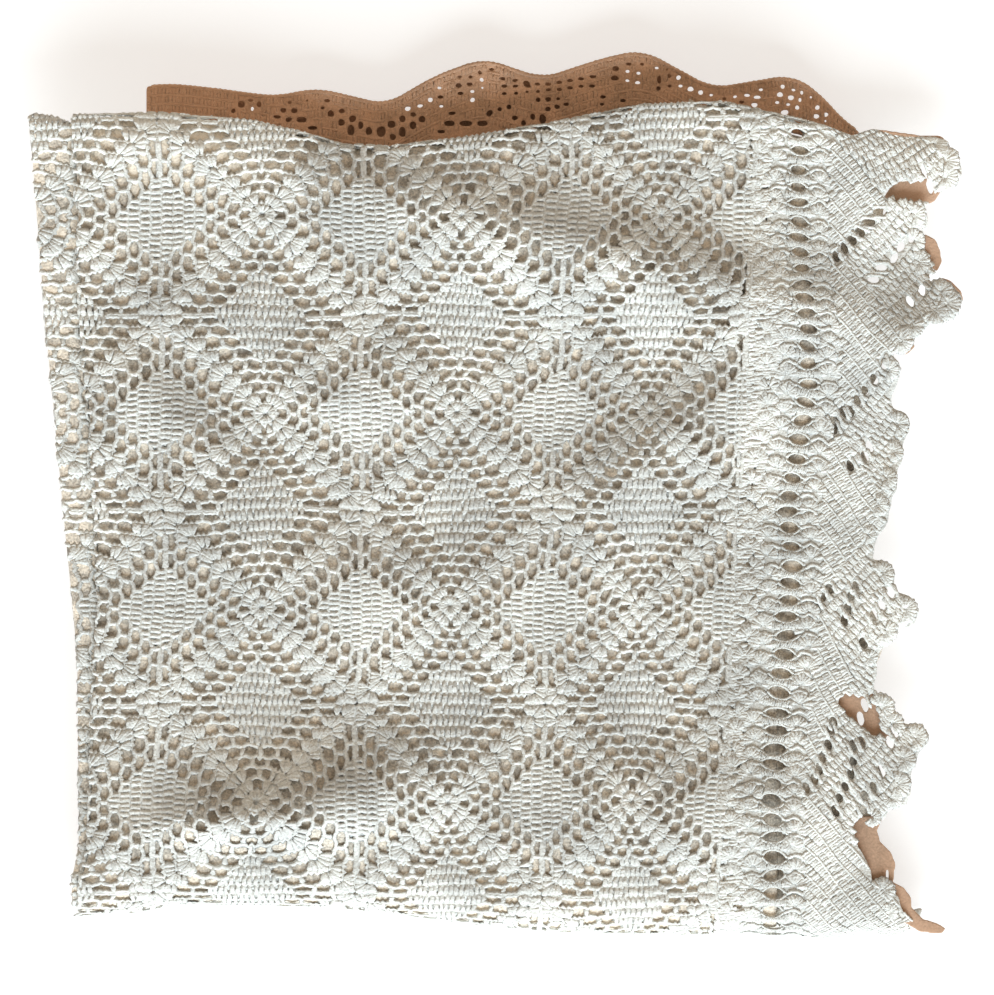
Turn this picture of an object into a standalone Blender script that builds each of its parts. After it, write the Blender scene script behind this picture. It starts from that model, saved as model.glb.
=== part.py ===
"""Folded crochet bedspread: one cotton cloth of joined squares with a rippled border,
folded in four across its width and then twice in half along its length."""

import math

import bmesh
import bpy
import numpy as np
from mathutils.geometry import delaunay_2d_cdt

MM = 0.001
NAME = "crochet_bedspread"

# The cloth and how tightly it is stacked.
PLY_THICKNESS = 2.4 * MM
PLY_PITCH = 3.5 * MM
HALF_PITCH = PLY_PITCH / 2
SURFACE = PLY_THICKNESS / 2

# Height of the middle of each bundle of four plies, in ply pitches, from the bottom up.
LEG_LEVELS = {"bottom": 2, "second": 6, "third": 10, "top": 14}
PLY_OFFSETS = {"outer": 1.5, "second": 0.5, "third": -0.5, "inner": -1.5}

# How the cloth is cut up along its width: flat lengths and steps of each stretch.
# The four plies run from the right border to the left fold, back, and so on.
ACROSS = (
    ("outer border", 115 * MM, 4),
    ("outer ply", 390 * MM, 7),
    ("first left fold", math.pi * HALF_PITCH, 4),
    ("second ply", 405 * MM, 3),
    ("right fold", math.pi * HALF_PITCH, 4),
    ("third ply", 420 * MM, 3),
    ("second left fold", math.pi * HALF_PITCH, 4),
    ("inner ply", 405 * MM, 3),
    ("inner border", 115 * MM, 2),
)
# The same along its length, from the end that lies lowest.
ALONG = (
    ("bottom", 500 * MM, 3),
    ("outer near fold", math.pi * 6 * PLY_PITCH, 8),
    ("top", 455 * MM, 7),
    ("far fold", math.pi * 2 * PLY_PITCH, 6),
    ("third", 455 * MM, 3),
    ("inner near fold", math.pi * 2 * PLY_PITCH, 5),
    ("second", 500 * MM, 3),
)

# Outlines of the folded stack seen from above, millimetres.
# Far fold, the top edge of the main stack: x, y.
FAR_EDGE = (
    (-284, 238), (-264, 235), (-254, 230), (-202, 231), (-148, 227), (-118, 220), (-92, 212), (-64, 211),
    (-16, 217), (38, 226), (86, 236), (134, 238), (158, 233), (200, 223), (214, 218), (226, 222), (269, 216),
)
# Near fold, the bottom edge: x, y.
NEAR_EDGE = (
    (-261, -254), (-220, -252), (-190, -246), (-100, -248), (-58, -253), (-10, -259),
    (38, -263), (92, -265), (152, -264), (200, -267), (224, -264), (245, -267), (269, -263),
)
# Left fold of the outer ply: y, x.
OUTER_LEFT_EDGE = (
    (-251, -257), (-212, -247), (-122, -244), (-62, -241), (-2, -243), (50, -247), (100, -251), (227, -256),
)
# Left fold of the inner ply, which shows as a strip beside the outer one: y, x.
INNER_LEFT_EDGE = (
    (-251, -261), (-212, -251), (-98, -252), (-64, -255), (-14, -260), (62, -267), (100, -271), (230, -281),
)
# Right border of the outer ply on top, tips and notches of its ripples: y, x.
TOP_BORDER_EDGE = (
    (-263, 269), (-209, 225), (-146, 255), (-116, 228), (-62, 245), (-32, 226), (14, 231), (40, 238),
    (68, 236), (121, 280), (165, 262), (181, 257), (199, 280), (215, 268),
)
# Free end of the outer ply of the second bundle, which shows past the far fold: x, y.
FREE_END_EDGE = (
    (-211, 246), (-200, 248), (-170, 245), (-134, 240), (-108, 245), (-66, 235), (-38, 252), (-8, 263),
    (28, 251), (64, 263), (88, 268), (130, 245), (154, 249), (178, 253), (190, 246), (202, 234), (214, 220),
    (240, 214),
)
BORDER_SEAM_X = ((-242, 134), (-62, 143), (226, 158))
RIGHT_FOLD_X = 166

# The ripples of the border that stay inside the stack.
RIPPLE_PERIOD = 86
RIPPLE_STEPS = 9
HIDDEN_BORDER = {"bottom": (228, 6, 20), "second": (224, 8, 55), "third": (230, 8, 0), "top": (234, 9, 30)}
HIDDEN_END = {"bottom": (226, 6, 30), "second": (227, 5, 10)}

# How far the left folds of the other bundles lie inside those of the top one: at the
# near fold and at the far end.
LEFT_INSET = {"bottom": (9, 52), "second": (6, 46), "third": (5, 8), "top": (0, 0)}
LEFT_INSET_RAMP = (60, 225)

# Past the right fold only half of the plies are left, so they sink together.
SINK_RAMP = (150, 232)
SUNK_GAP = 1.7
RUFFLE_DROP = 3.5 * MM

# Soft folds of the top ply: x, y, half-length, half-widths of the far and near slopes, turn in
# degrees, height, in mm.
SWELLS = (
    (-141, -203, 88, 34, 24, 14, 24.0),
    (70, 140, 220, 27, 36, -15, 17.0),
    (98, 28, 74, 21, 32, 40, 13.0),
    (-200, 50, 80, 18, 30, -41, 9.0),
    (-82, 61, 42, 34, 18, 0, 7.0),
    (-178, -10, 46, 22, 36, 0, 6.0),
    (-88, -50, 75, 26, 46, -5, 8.0),
    (-166, 106, 60, 24, 34, 0, 5.5),
    (110, -190, 80, 30, 30, 0, 6.0),
)
SWELL_FADE = 28

# Joined squares of the top ply: seams that run along the stack, and those across it.
SEAM_STATIONS = (226, -62, -242)
SEAM_COLUMNS = ((158, 143, 134), (45, 29, 26), (-79, -82, -85), (-202, -199, -208), (-325, -320, -330))
SEAM_ROWS = (226, 109, -8, -125, -239)

# Openings over 4 mm, millimetres. The openings of a square run in slanting lines from its
# middle to its sides: each row here is one round's distance from the middle and the
# distance of its opening from the middle of the side, as shares of half a square.
ROUND_OPENING = (9.2, 4.6)
ROUND_OPENING_PLACES = ((0.945, 0.53), (0.72, 0.32))
BORDER_OPENING = (6.2, 10.2)
BORDER_OPENING_PITCH = 10.8
BORDER_OPENING_INSET = (24, 20)
EYELET = (4.6, 4.6)
EYELET_STEPS = 4
EDGE_CLEARANCE = 9

COTTON = (0.60, 0.585, 0.53, 1.0)


def clear_scene():
    for item in list(bpy.data.objects):
        bpy.data.objects.remove(item, do_unlink=True)


def collection_named(name):
    found = bpy.data.collections.new(name)
    bpy.context.scene.collection.children.link(found)
    return found


def cotton_material():
    material = bpy.data.materials.new("cotton_yarn")
    material.use_nodes = True
    shader = material.node_tree.nodes["Principled BSDF"]
    shader.inputs["Base Color"].default_value = COTTON
    shader.inputs["Roughness"].default_value = 0.92
    shader.inputs["Metallic"].default_value = 0.0
    return material


def read(table, place):
    """Value of a two-column table at a place, in metres."""
    places, values = zip(*sorted(table))
    return float(np.interp(place / MM, places, values)) * MM


def eased(value, start, stop):
    """Zero before start, one past stop, with soft ends."""
    part = min(max((value - start) / (stop - start), 0.0), 1.0)
    return part * part * (3 - 2 * part)


def ripple(base, depth, shift, place):
    """Edge of a hidden border, metres: a wave about its base line."""
    return (base + depth * math.cos(2 * math.pi * (place / MM - shift) / RIPPLE_PERIOD)) * MM


def stations(stretches):
    """Flat places of the fold lines and the steps between them, and each stretch's start."""
    places, starts, start = [0.0], {}, 0.0
    for name, length, steps in stretches:
        starts[name] = (start, length)
        places += [start + length * step / steps for step in range(1, steps + 1)]
        start += length
    return places, starts, start


ACROSS_PLACES, ACROSS_STARTS, CLOTH_WIDTH = stations(ACROSS)
ALONG_PLACES, ALONG_STARTS, CLOTH_LENGTH = stations(ALONG)


def stretch_at(starts, place):
    """Name of the stretch that holds a flat place, and the share of it passed."""
    for name, (start, length) in starts.items():
        if place <= start + length + 1e-7:
            return name, (place - start) / length
    raise ValueError("place past the end of the cloth")


def left_edges(leg, y):
    """x of the outer and inner left folds of one bundle."""
    near, far = LEFT_INSET[leg]
    inset = near + (far - near) * eased(y / MM, *LEFT_INSET_RAMP)
    outer = read(OUTER_LEFT_EDGE, y) + inset * MM
    inner = read(INNER_LEFT_EDGE, y) + inset * MM
    return outer, inner


def place_across(leg, flat_x, y):
    """x and the height over the bundle's middle, for a flat place across the cloth."""
    name, part = stretch_at(ACROSS_STARTS, flat_x)
    outer_left, inner_left = left_edges(leg, y)
    outer_turn = outer_left + HALF_PITCH + SURFACE
    inner_turn = inner_left + HALF_PITCH + SURFACE
    seam = read(BORDER_SEAM_X, y)
    hidden_edge = ripple(*HIDDEN_BORDER[leg], y)
    edge = read(TOP_BORDER_EDGE, y) if leg == "top" else hidden_edge - 3 * MM
    right_turn = RIGHT_FOLD_X * MM
    swing = HALF_PITCH * math.sin(math.pi * part)
    rise = HALF_PITCH * math.cos(math.pi * part)
    level = {ply: PLY_PITCH * offset for ply, offset in PLY_OFFSETS.items()}
    places = {
        "outer border": (edge + (seam - edge) * part, level["outer"]),
        "outer ply": (seam + (outer_turn - seam) * part, level["outer"]),
        "first left fold": (outer_turn - swing, PLY_PITCH + rise),
        "second ply": (outer_turn + (right_turn - outer_turn) * part, level["second"]),
        "right fold": (right_turn + swing, rise),
        "third ply": (right_turn + (inner_turn - right_turn) * part, level["third"]),
        "second left fold": (inner_turn - swing, rise - PLY_PITCH),
        "inner ply": (inner_turn + (seam - inner_turn) * part, level["inner"]),
        "inner border": (seam + (hidden_edge - seam) * part, level["inner"]),
    }
    return places[name]


def near_turn(x):
    return read(NEAR_EDGE, x) + 7.5 * PLY_PITCH + SURFACE


def far_turn(x):
    return read(FAR_EDGE, x) - 3.5 * PLY_PITCH - SURFACE


def free_end(leg, flat_x, x):
    """y of the cloth's end in the bottom or second bundle."""
    shown = read(FREE_END_EDGE, x)
    start, length = ACROSS_STARTS["first left fold"]
    if leg == "second" and flat_x <= start + length:
        return shown
    return min(ripple(*HIDDEN_END[leg], x), shown - 3 * MM)


def place_along(flat_x, flat_y, x, height):
    """y and z for a flat place along the cloth, at a height over the bundle's middle."""
    name, part = stretch_at(ALONG_STARTS, flat_y)
    near, far = near_turn(x), far_turn(x)
    turn = math.pi * part
    middle = {leg: PLY_PITCH * level for leg, level in LEG_LEVELS.items()}
    if name == "bottom":
        end = free_end("bottom", flat_x, x)
        return end + (near - end) * part, middle["bottom"] - height
    if name == "outer near fold":
        radius = 6 * PLY_PITCH + height
        return near - radius * math.sin(turn), 8 * PLY_PITCH - radius * math.cos(turn)
    if name == "top":
        return near + (far - near) * part, middle["top"] + height
    if name == "far fold":
        radius = 2 * PLY_PITCH + height
        return far + radius * math.sin(turn), 12 * PLY_PITCH + radius * math.cos(turn)
    if name == "third":
        return far + (near - far) * part, middle["third"] - height
    if name == "inner near fold":
        radius = 2 * PLY_PITCH - height
        return near - radius * math.sin(turn), 8 * PLY_PITCH + radius * math.cos(turn)
    end = free_end("second", flat_x, x)
    return near + (end - near) * part, middle["second"] + height


def leg_blend(flat_y):
    """The two bundles that a flat place lies between, and the share of the second."""
    name, part = stretch_at(ALONG_STARTS, flat_y)
    between = {
        "outer near fold": ("bottom", "top"),
        "far fold": ("top", "third"),
        "inner near fold": ("third", "second"),
    }
    first, second = between.get(name, (name, name))
    return first, second, part


def swell_height(x, y):
    """Soft height of the top ply over a level one."""
    total = 0.0
    for cx, cy, half_length, far_width, near_width, turn, height in SWELLS:
        angle = math.radians(turn)
        dx, dy = x / MM - cx, y / MM - cy
        run = (dx * math.cos(angle) + dy * math.sin(angle)) / half_length
        off = dy * math.cos(angle) - dx * math.sin(angle)
        off /= far_width if off > 0 else near_width
        total += height * math.exp(-run * run - off * off)
    inside = (
        eased(x - read(OUTER_LEFT_EDGE, y), 4 * MM, SWELL_FADE * MM)
        * eased(far_turn(x) - y, 0, SWELL_FADE * MM)
        * eased(y - near_turn(x), 0, SWELL_FADE * MM)
    )
    return total * inside * MM


def sunk_height(z, x):
    """Height after the half-empty right side has sunk: the wide gaps close, the plies stay."""
    sunk, level = 0.0, z / PLY_PITCH
    for start in (0.5, 4.5, 8.5, 12.5):
        sunk += min(max(level - start, 0.0), 3.0) * (SUNK_GAP / 3 - 1)
    return z + PLY_PITCH * sunk * eased(x / MM, *SINK_RAMP)


def ruffle(x, y):
    """How far the edge of the top border turns down."""
    wave = 0.5 - 0.5 * math.cos(2 * math.pi * (y / MM - 10) / RIPPLE_PERIOD)
    return RUFFLE_DROP * wave * eased(x / MM, 190, 245)


def folded(flat_x, flat_y):
    """Where a point of the flat cloth lies in the folded stack."""
    first, second, part = leg_blend(flat_y)
    x = y = z = 0.0
    for _ in range(6):
        x_first, height = place_across(first, flat_x, y)
        x_second, _height = place_across(second, flat_x, y)
        x = x_first + (x_second - x_first) * part if first != second else x_first
        y, z = place_along(flat_x, flat_y, x, height)
    border_start, border_length = ACROSS_STARTS["outer ply"]
    on_top = first == second == "top" and flat_x <= border_start + border_length
    z = sunk_height(z, x)
    if on_top:
        z += swell_height(x, y) - ruffle(x, y)
    return x, y, z - HALF_PITCH + SURFACE


def unfolded(x, y):
    """Flat place of a point of the outer ply on top: the reverse of folded."""
    near, far = near_turn(x), far_turn(x)
    start, length = ALONG_STARTS["top"]
    flat_y = start + length * (y - near) / (far - near)
    seam = read(BORDER_SEAM_X, y)
    if x > seam:
        start, length = ACROSS_STARTS["outer border"]
        edge = read(TOP_BORDER_EDGE, y)
        return start + length * (edge - x) / (edge - seam), flat_y
    outer_turn = left_edges("top", y)[0] + HALF_PITCH + SURFACE
    start, length = ACROSS_STARTS["outer ply"]
    return start + length * (seam - x) / (seam - outer_turn), flat_y


def flat_stretch(starts, name, steps):
    """Even flat places within a stretch."""
    start, length = starts[name]
    return [start + length * (step + 0.5) / steps for step in range(steps)]


def seam_x(column, y):
    """x of a seam between columns of squares."""
    order = sorted(zip(SEAM_STATIONS, SEAM_COLUMNS[column]))
    return float(np.interp(y, *zip(*order)))


def in_square(column, row, u, v):
    """Point of a joined square, where u and v run from -1 to 1. Millimetres."""
    y = (SEAM_ROWS[row] + SEAM_ROWS[row + 1]) / 2 + v * (SEAM_ROWS[row] - SEAM_ROWS[row + 1]) / 2
    right, left = seam_x(column, y), seam_x(column + 1, y)
    return (right + left) / 2 + u * (right - left) / 2, y


def rectangle(centre, size):
    """Corners about a centre. Millimetres."""
    half_w, half_h = size[0] / 2, size[1] / 2
    steps = ((-1, -1), (1, -1), (1, 1), (-1, 1))
    return [(centre[0] + sx * half_w, centre[1] + sy * half_h) for sx, sy in steps]


def lozenge(centre, size):
    """A lens of six corners, long in y. Millimetres."""
    half_w, half_h = size[0] / 2, size[1] / 2
    steps = ((-1, -0.3), (0, -1), (1, -0.3), (1, 0.3), (0, 1), (-1, 0.3))
    return [(centre[0] + sx * half_w, centre[1] + sy * half_h) for sx, sy in steps]


def square_openings():
    """The openings of each square's last round, as outlines seen from above."""
    outlines = []
    wide, deep = ROUND_OPENING
    squares = [(c, r) for c in range(len(SEAM_COLUMNS) - 1) for r in range(len(SEAM_ROWS) - 1)]
    for column, row in squares:
        for depth, place in ROUND_OPENING_PLACES:
            for side, half in ((-1, -1), (-1, 1), (1, -1), (1, 1)):
                across = in_square(column, row, half * place, side * depth)
                along = in_square(column, row, side * depth, half * place)
                outlines.append((across, rectangle(across, (wide, deep))))
                outlines.append((along, rectangle(along, (deep, wide))))
    return outlines


def border_openings():
    """The column of lens-shaped openings, and eyelets up each ripple of the border."""
    outlines = []
    top, bottom = SEAM_ROWS[0] - 8, SEAM_ROWS[-1] + 4
    count = int((top - bottom) / BORDER_OPENING_PITCH)
    for step in range(count):
        y = top - BORDER_OPENING_PITCH * (step + 0.5)
        inset = np.interp(y, (bottom, top), BORDER_OPENING_INSET[::-1])
        centre = (seam_x(0, y) + float(inset), y)
        outlines.append((centre, lozenge(centre, BORDER_OPENING)))
    for ripple_step in range(5):
        low = bottom + 30 + RIPPLE_PERIOD * ripple_step
        for step in range(EYELET_STEPS):
            y = low + 11 * step
            centre = (seam_x(0, y) + 52 + 10 * step, y)
            outlines.append((centre, rectangle(centre, EYELET)))
    return outlines


def kept_openings():
    """The openings that lie on the level part of the outer ply on top, flat places."""
    kept = []
    for (x, y), outline in square_openings() + border_openings():
        x, y = x * MM, y * MM
        clear = EDGE_CLEARANCE * MM
        inside = near_turn(x) + clear < y < far_turn(x) - clear / 2
        inside = inside and left_edges("top", y)[0] + clear < x
        inside = inside and x < read(TOP_BORDER_EDGE, y) - clear / 2 - 2 * MM
        if inside:
            kept.append([unfolded(px * MM, py * MM) for px, py in outline])
    return kept


def edge_points():
    """Extra points round the cloth's edge, so that the ripples of its border show."""
    places = [(0.0, unfolded(x * MM, y * MM)[1]) for y, x in TOP_BORDER_EDGE[1:-1]]
    for leg in ("bottom", "third", "second"):
        places += [(0.0, flat_y) for flat_y in flat_stretch(ALONG_STARTS, leg, RIPPLE_STEPS)]
    for leg in ("bottom", "top", "third", "second"):
        places += [(CLOTH_WIDTH, flat_y) for flat_y in flat_stretch(ALONG_STARTS, leg, RIPPLE_STEPS)]
    for ply in ("outer ply", "second ply", "third ply", "inner ply"):
        places += [(flat_x, 0.0) for flat_x in flat_stretch(ACROSS_STARTS, ply, RIPPLE_STEPS)]
    for ply in ("second ply", "third ply", "inner ply"):
        places += [(flat_x, CLOTH_LENGTH) for flat_x in flat_stretch(ACROSS_STARTS, ply, RIPPLE_STEPS)]
    seam, left, right = BORDER_SEAM_X[-1][1], FREE_END_EDGE[0][0], FREE_END_EDGE[-1][0]
    for x, _y in FREE_END_EDGE[1:-1]:
        border = x > seam
        start, length = ACROSS_STARTS["outer border" if border else "outer ply"]
        part = (right - x) / (right - seam) if border else (seam - x) / (seam - left)
        places.append((start + length * part, CLOTH_LENGTH))
    return places


def flat_pattern(openings):
    """Points, fold lines and openings of the flat cloth, joined into triangles."""
    points = [(x, y) for x in ACROSS_PLACES for y in ALONG_PLACES]
    rows = len(ALONG_PLACES)
    edges = []
    for column in range(len(ACROSS_PLACES)):
        name, part = stretch_at(ACROSS_STARTS, ACROSS_PLACES[column])
        folds = "fold" in name or part > 0.999
        for row in range(rows - 1):
            if folds or column in (0, len(ACROSS_PLACES) - 1):
                edges.append((column * rows + row, column * rows + row + 1))
    for row in range(rows):
        name, part = stretch_at(ALONG_STARTS, ALONG_PLACES[row])
        if "fold" in name or part > 0.999 or row == 0:
            for column in range(len(ACROSS_PLACES) - 1):
                edges.append((column * rows + row, (column + 1) * rows + row))
    points += edge_points()
    for outline in openings:
        start = len(points)
        points += outline
        edges += [(start + k, start + (k + 1) % len(outline)) for k in range(len(outline))]
    result = delaunay_2d_cdt(points, edges, [], 0, 1e-7)
    return [tuple(point) for point in result[0]], result[2]


def in_outline(point, outline):
    """Whether a flat point lies inside a convex outline."""
    sides = []
    for (ax, ay), (bx, by) in zip(outline, outline[1:] + outline[:1]):
        sides.append((bx - ax) * (point[1] - ay) - (by - ay) * (point[0] - ax) > 0)
    return all(sides) or not any(sides)


def folded_cloth(collection):
    """The whole cloth, folded and then thickened about its middle."""
    openings = kept_openings()
    points, triangles = flat_pattern(openings)
    middles = [np.mean(outline, axis=0) for outline in openings]
    sheet = bmesh.new()
    verts = [sheet.verts.new(folded(*point)) for point in points]
    for corners in triangles:
        centre = np.mean([points[c] for c in corners], axis=0)
        near = [k for k, middle in enumerate(middles) if np.abs(middle - centre).max() < 0.012]
        if not any(in_outline(centre, openings[k]) for k in near):
            sheet.faces.new([verts[c] for c in corners])
    loose = [vert for vert in sheet.verts if not vert.link_faces]
    bmesh.ops.delete(sheet, geom=loose, context="VERTS")
    bmesh.ops.recalc_face_normals(sheet, faces=sheet.faces)
    mesh = bpy.data.meshes.new(NAME)
    sheet.to_mesh(mesh)
    sheet.free()
    cloth = bpy.data.objects.new(NAME, mesh)
    collection.objects.link(cloth)
    thickness = cloth.modifiers.new("Ply thickness", "SOLIDIFY")
    thickness.thickness = PLY_THICKNESS
    thickness.offset = 0.0
    mesh.materials.append(cotton_material())
    mesh.shade_smooth()
    return cloth


def main():
    clear_scene()
    folded_cloth(collection_named(NAME))


main()
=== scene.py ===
import math

import bmesh
import bpy
import numpy as np
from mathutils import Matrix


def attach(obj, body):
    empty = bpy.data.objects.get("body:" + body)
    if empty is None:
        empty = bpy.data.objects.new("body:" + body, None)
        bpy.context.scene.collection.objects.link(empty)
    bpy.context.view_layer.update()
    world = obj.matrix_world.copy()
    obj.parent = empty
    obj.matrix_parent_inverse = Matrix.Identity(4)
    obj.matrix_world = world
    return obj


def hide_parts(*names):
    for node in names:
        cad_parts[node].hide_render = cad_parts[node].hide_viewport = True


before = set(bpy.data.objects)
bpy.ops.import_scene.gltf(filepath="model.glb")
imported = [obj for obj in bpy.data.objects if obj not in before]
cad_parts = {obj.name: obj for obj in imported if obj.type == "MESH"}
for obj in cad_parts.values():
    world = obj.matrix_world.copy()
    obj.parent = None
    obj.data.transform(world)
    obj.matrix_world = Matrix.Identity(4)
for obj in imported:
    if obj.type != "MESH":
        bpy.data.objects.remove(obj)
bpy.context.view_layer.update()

rng = np.random.default_rng(41)
print("frame loaded")

# Places below are in millimetres, in the frame: x to the border, y to the far fold, z up.
mm = 0.001

# How the cloth is folded: the same values as its solid. Four bundles of four plies lie on each other,
# with their middles 2, 6, 10 and 14 plies up.
fold = dict(
    pitch=3.5,
    thickness=2.4,
    seamX=((-242, 134), (-62, 143), (226, 158)),
    farEdge=((-284, 238), (-264, 235), (-254, 230), (-202, 231), (-148, 227), (-118, 220), (-92, 212),
             (-64, 211), (-16, 217), (38, 226), (86, 236), (134, 238), (158, 233), (200, 223), (214, 218),
             (226, 222), (269, 216)),
    nearEdge=((-261, -254), (-220, -252), (-190, -246), (-100, -248), (-58, -253), (-10, -259),
              (38, -263), (92, -265), (152, -264), (200, -267), (224, -264), (245, -267), (269, -263)),
    outerLeft=((-251, -257), (-212, -247), (-122, -244), (-62, -241), (-2, -243), (50, -247),
               (100, -251), (227, -256)),
    innerLeft=((-251, -261), (-212, -251), (-98, -252), (-64, -255), (-14, -260), (62, -267),
               (100, -271), (230, -281)),
    borderEdge=((-263, 269), (-209, 225), (-146, 255), (-116, 228), (-62, 245), (-32, 226), (14, 231),
                (40, 238), (68, 236), (121, 280), (165, 262), (181, 257), (199, 280), (215, 268)),
    freeEnd=((-211, 246), (-200, 248), (-170, 245), (-134, 240), (-108, 245), (-66, 235), (-38, 252),
             (-8, 263), (28, 251), (64, 263), (88, 268), (130, 245), (154, 249), (178, 253), (190, 246),
             (202, 234), (214, 220), (240, 214)),
    nearBend=7.5,       # how many plies the outer one turns over at the near fold, and at the far one
    farBend=3.5,
    sinkRamp=(150, 232),
    sunkGap=1.7,
    ruffleDrop=3.5,
    ruffleRamp=(190, 245),
    ripple=86,
    leftInset=dict(bottom=(9, 52), second=(6, 46), third=(5, 8), top=(0, 0)),
    leftInsetRamp=(60, 225),
    rightFoldX=166,
    squareHalf=58.5,
)
halfPitch = fold["pitch"] / 2
surface = fold["thickness"] / 2

# Soft folds of the top ply: x, y, half-length, half-widths of the far and near slopes, turn, height.
swells = (
    (-134, -198, 88, 31, 27, 17, 30.0),
    (65, 141, 170, 25, 36, -15, 20.0),
    (98, 28, 74, 21, 32, 40, 13.0),
    (-200, 50, 80, 18, 30, -41, 9.0),
    (-82, 61, 42, 34, 18, 0, 7.0),
    (-178, -10, 46, 22, 36, 0, 6.0),
    (-88, -50, 75, 26, 46, -5, 8.0),
    (-166, 106, 60, 24, 34, 0, 5.5),
    (110, -192, 105, 33, 33, 0, 9.0),
    (-212, 236, 62, 20, 32, -4, 9.0),
    (246, 236, 44, 20, 28, -4, 7.0),
)
swellEdge = dict(left=4, fade=28, pastFar=14)     # where the soft folds die out
# how level the far edge of the top ply stays, and between what shares of the turn that ends
topPly = dict(farLevel=0.75, levelRamp=(0.5, 0.9))


def along(table, place):
    pairs = np.array(sorted(fold[table]), float)
    return np.interp(place, pairs[:, 0], pairs[:, 1])


def smoothAlong(table, place):
    # the same values as along, with the corners rounded
    return sum(along(table, place + shift) for shift in (-9, -4.5, 0, 4.5, 9)) / 5


def eased(value, start, stop):
    part = np.clip((value - start) / (stop - start), 0, 1)
    return part * part * (3 - 2 * part)


def nearTurn(x):
    return along("nearEdge", x) + fold["nearBend"] * fold["pitch"] + surface


def farTurn(x):
    return along("farEdge", x) - fold["farBend"] * fold["pitch"] - surface


def swellHeight(x, y):
    total = 0.0
    for cx, cy, halfLength, farWidth, nearWidth, turn, height in swells:
        angle = math.radians(turn)
        run = ((x - cx) * math.cos(angle) + (y - cy) * math.sin(angle)) / halfLength
        off = (y - cy) * math.cos(angle) - (x - cx) * math.sin(angle)
        off = off / np.where(off > 0, farWidth, nearWidth)
        total = total + height * np.exp(-run * run - off * off)
    fade = swellEdge["fade"]
    total = total * eased(x - along("outerLeft", y), swellEdge["left"], fade)
    return total * eased(farTurn(x) + swellEdge["pastFar"] - y, 0, fade) * eased(y - nearTurn(x), 0, fade)


def sunkHeight(z, x):
    # past the right fold half of the plies are missing, so the stack sinks together there
    sunk, level = 0.0, z / fold["pitch"]
    for start in (0.5, 4.5, 8.5, 12.5):
        sunk = sunk + np.clip(level - start, 0, 3) * (fold["sunkGap"] / 3 - 1)
    return z + fold["pitch"] * sunk * eased(x, *fold["sinkRamp"])


def ruffleDrop(x, y):
    wave = 0.5 - 0.5 * np.cos(2 * np.pi * (y - 10) / fold["ripple"])
    return fold["ruffleDrop"] * wave * eased(x, *fold["ruffleRamp"])


def layTop(t, s, h, ply=1.5, left="outerLeft"):
    # where a point of the flat cloth lies on the top bundle: t across, s along, h over its middle
    p = fold["pitch"]
    near, bend = nearTurn(t), fold["nearBend"] * p
    y = np.clip(s, near, farTurn(t)) - bend * np.sin(np.clip((near - s) / bend, 0, math.pi / 2))
    turnX = along(left, y) + halfPitch + surface
    theta = np.clip((turnX - t) / halfPitch, 0, math.pi)
    x = np.where(t < turnX, turnX - (halfPitch + h) * np.sin(theta), t)
    w = np.where(t < turnX, (ply - 0.5) * p + (halfPitch + h) * np.cos(theta), ply * p + h)
    near, far = nearTurn(x), farTurn(x)
    overNear = np.clip((near - s) / ((6 + ply) * p), 0, math.pi)
    overFar = np.clip((s - far) / ((2 + ply) * p), 0, math.pi)
    y = np.clip(s, near, far) - (6 * p + w) * np.sin(overNear) + (2 * p + w) * np.sin(overFar)
    z = 14 * p + w - (6 * p + w) * (1 - np.cos(overNear))
    shown = (1 - eased(overFar / math.pi, *topPly["levelRamp"])) * (ply > 1)
    z = z - (2 * p + w) * (1 - np.cos(overFar)) * (1 - topPly["farLevel"] * shown)
    z = sunkHeight(z, x) + swellHeight(x, y) * shown - ruffleDrop(x, y) * (ply > 1)
    return np.stack([x, y, z - halfPitch + surface], -1)


# Yarn: every stitch is a closed four-sided tube, laid flat first and then onto the folds.
tubeSides = 4
stitchTint = 0.05       # how much paler or darker a stitch may be than its neighbours


def tubeFaces(count, rings, start):
    # quads between rings and a fan at each tip, for many tubes with the same ring count
    perTube = rings * tubeSides + 2
    base = start + np.arange(count)[:, None, None] * perTube
    k = np.arange(rings - 1)[None, :, None] * tubeSides
    i = np.arange(tubeSides)[None, None, :]
    j = (i + 1) % tubeSides
    quads = np.stack([base + k + i, base + k + j, base + k + tubeSides + j, base + k + tubeSides + i], -1)
    first, last = base[:, 0] + rings * tubeSides, base[:, 0] + rings * tubeSides + 1
    i, j = i[0], j[0]
    end = (rings - 1) * tubeSides
    fans = np.concatenate([
        np.stack([first + 0 * i, base[:, 0] + j, base[:, 0] + i], -1),
        np.stack([last + 0 * i, base[:, 0] + end + i, base[:, 0] + end + j], -1),
    ], 1)
    return quads.reshape(-1, 4), fans.reshape(-1, 3)


# painted light: the yarn is painted paler along the outer edges and corners where more light falls: x, y, how
# far each way, how much
paintedLightPlaces = ((0, -262, 420, 26, 0.3), (-276, 0, 26, 420, 0.14), (-190, 228, 85, 42, 0.34),
               (262, 190, 42, 55, 0.32), (256, -60, 26, 130, 0.16), (180, 222, 60, 26, 0.15))


def paintedLight(x, y):
    return np.max([much * np.exp(-((x - px) / wide) ** 2 - ((y - py) / high) ** 2)
                   for px, py, wide, high, much in paintedLightPlaces], axis=0)


def pieceOf(name, mesh, tints, material, triangles):
    mesh.shade_smooth()
    # each point's random tone and painted light, for the material
    tint = mesh.attributes.new("tint", "FLOAT", "POINT")
    tint.data.foreach_set("value", tints.astype(np.float32))
    mesh.materials.append(material)
    obj = bpy.data.objects.new(name, mesh)
    bpy.context.scene.collection.objects.link(obj)
    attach(obj, "root")
    print(name, "triangles:", triangles)
    return obj


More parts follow.
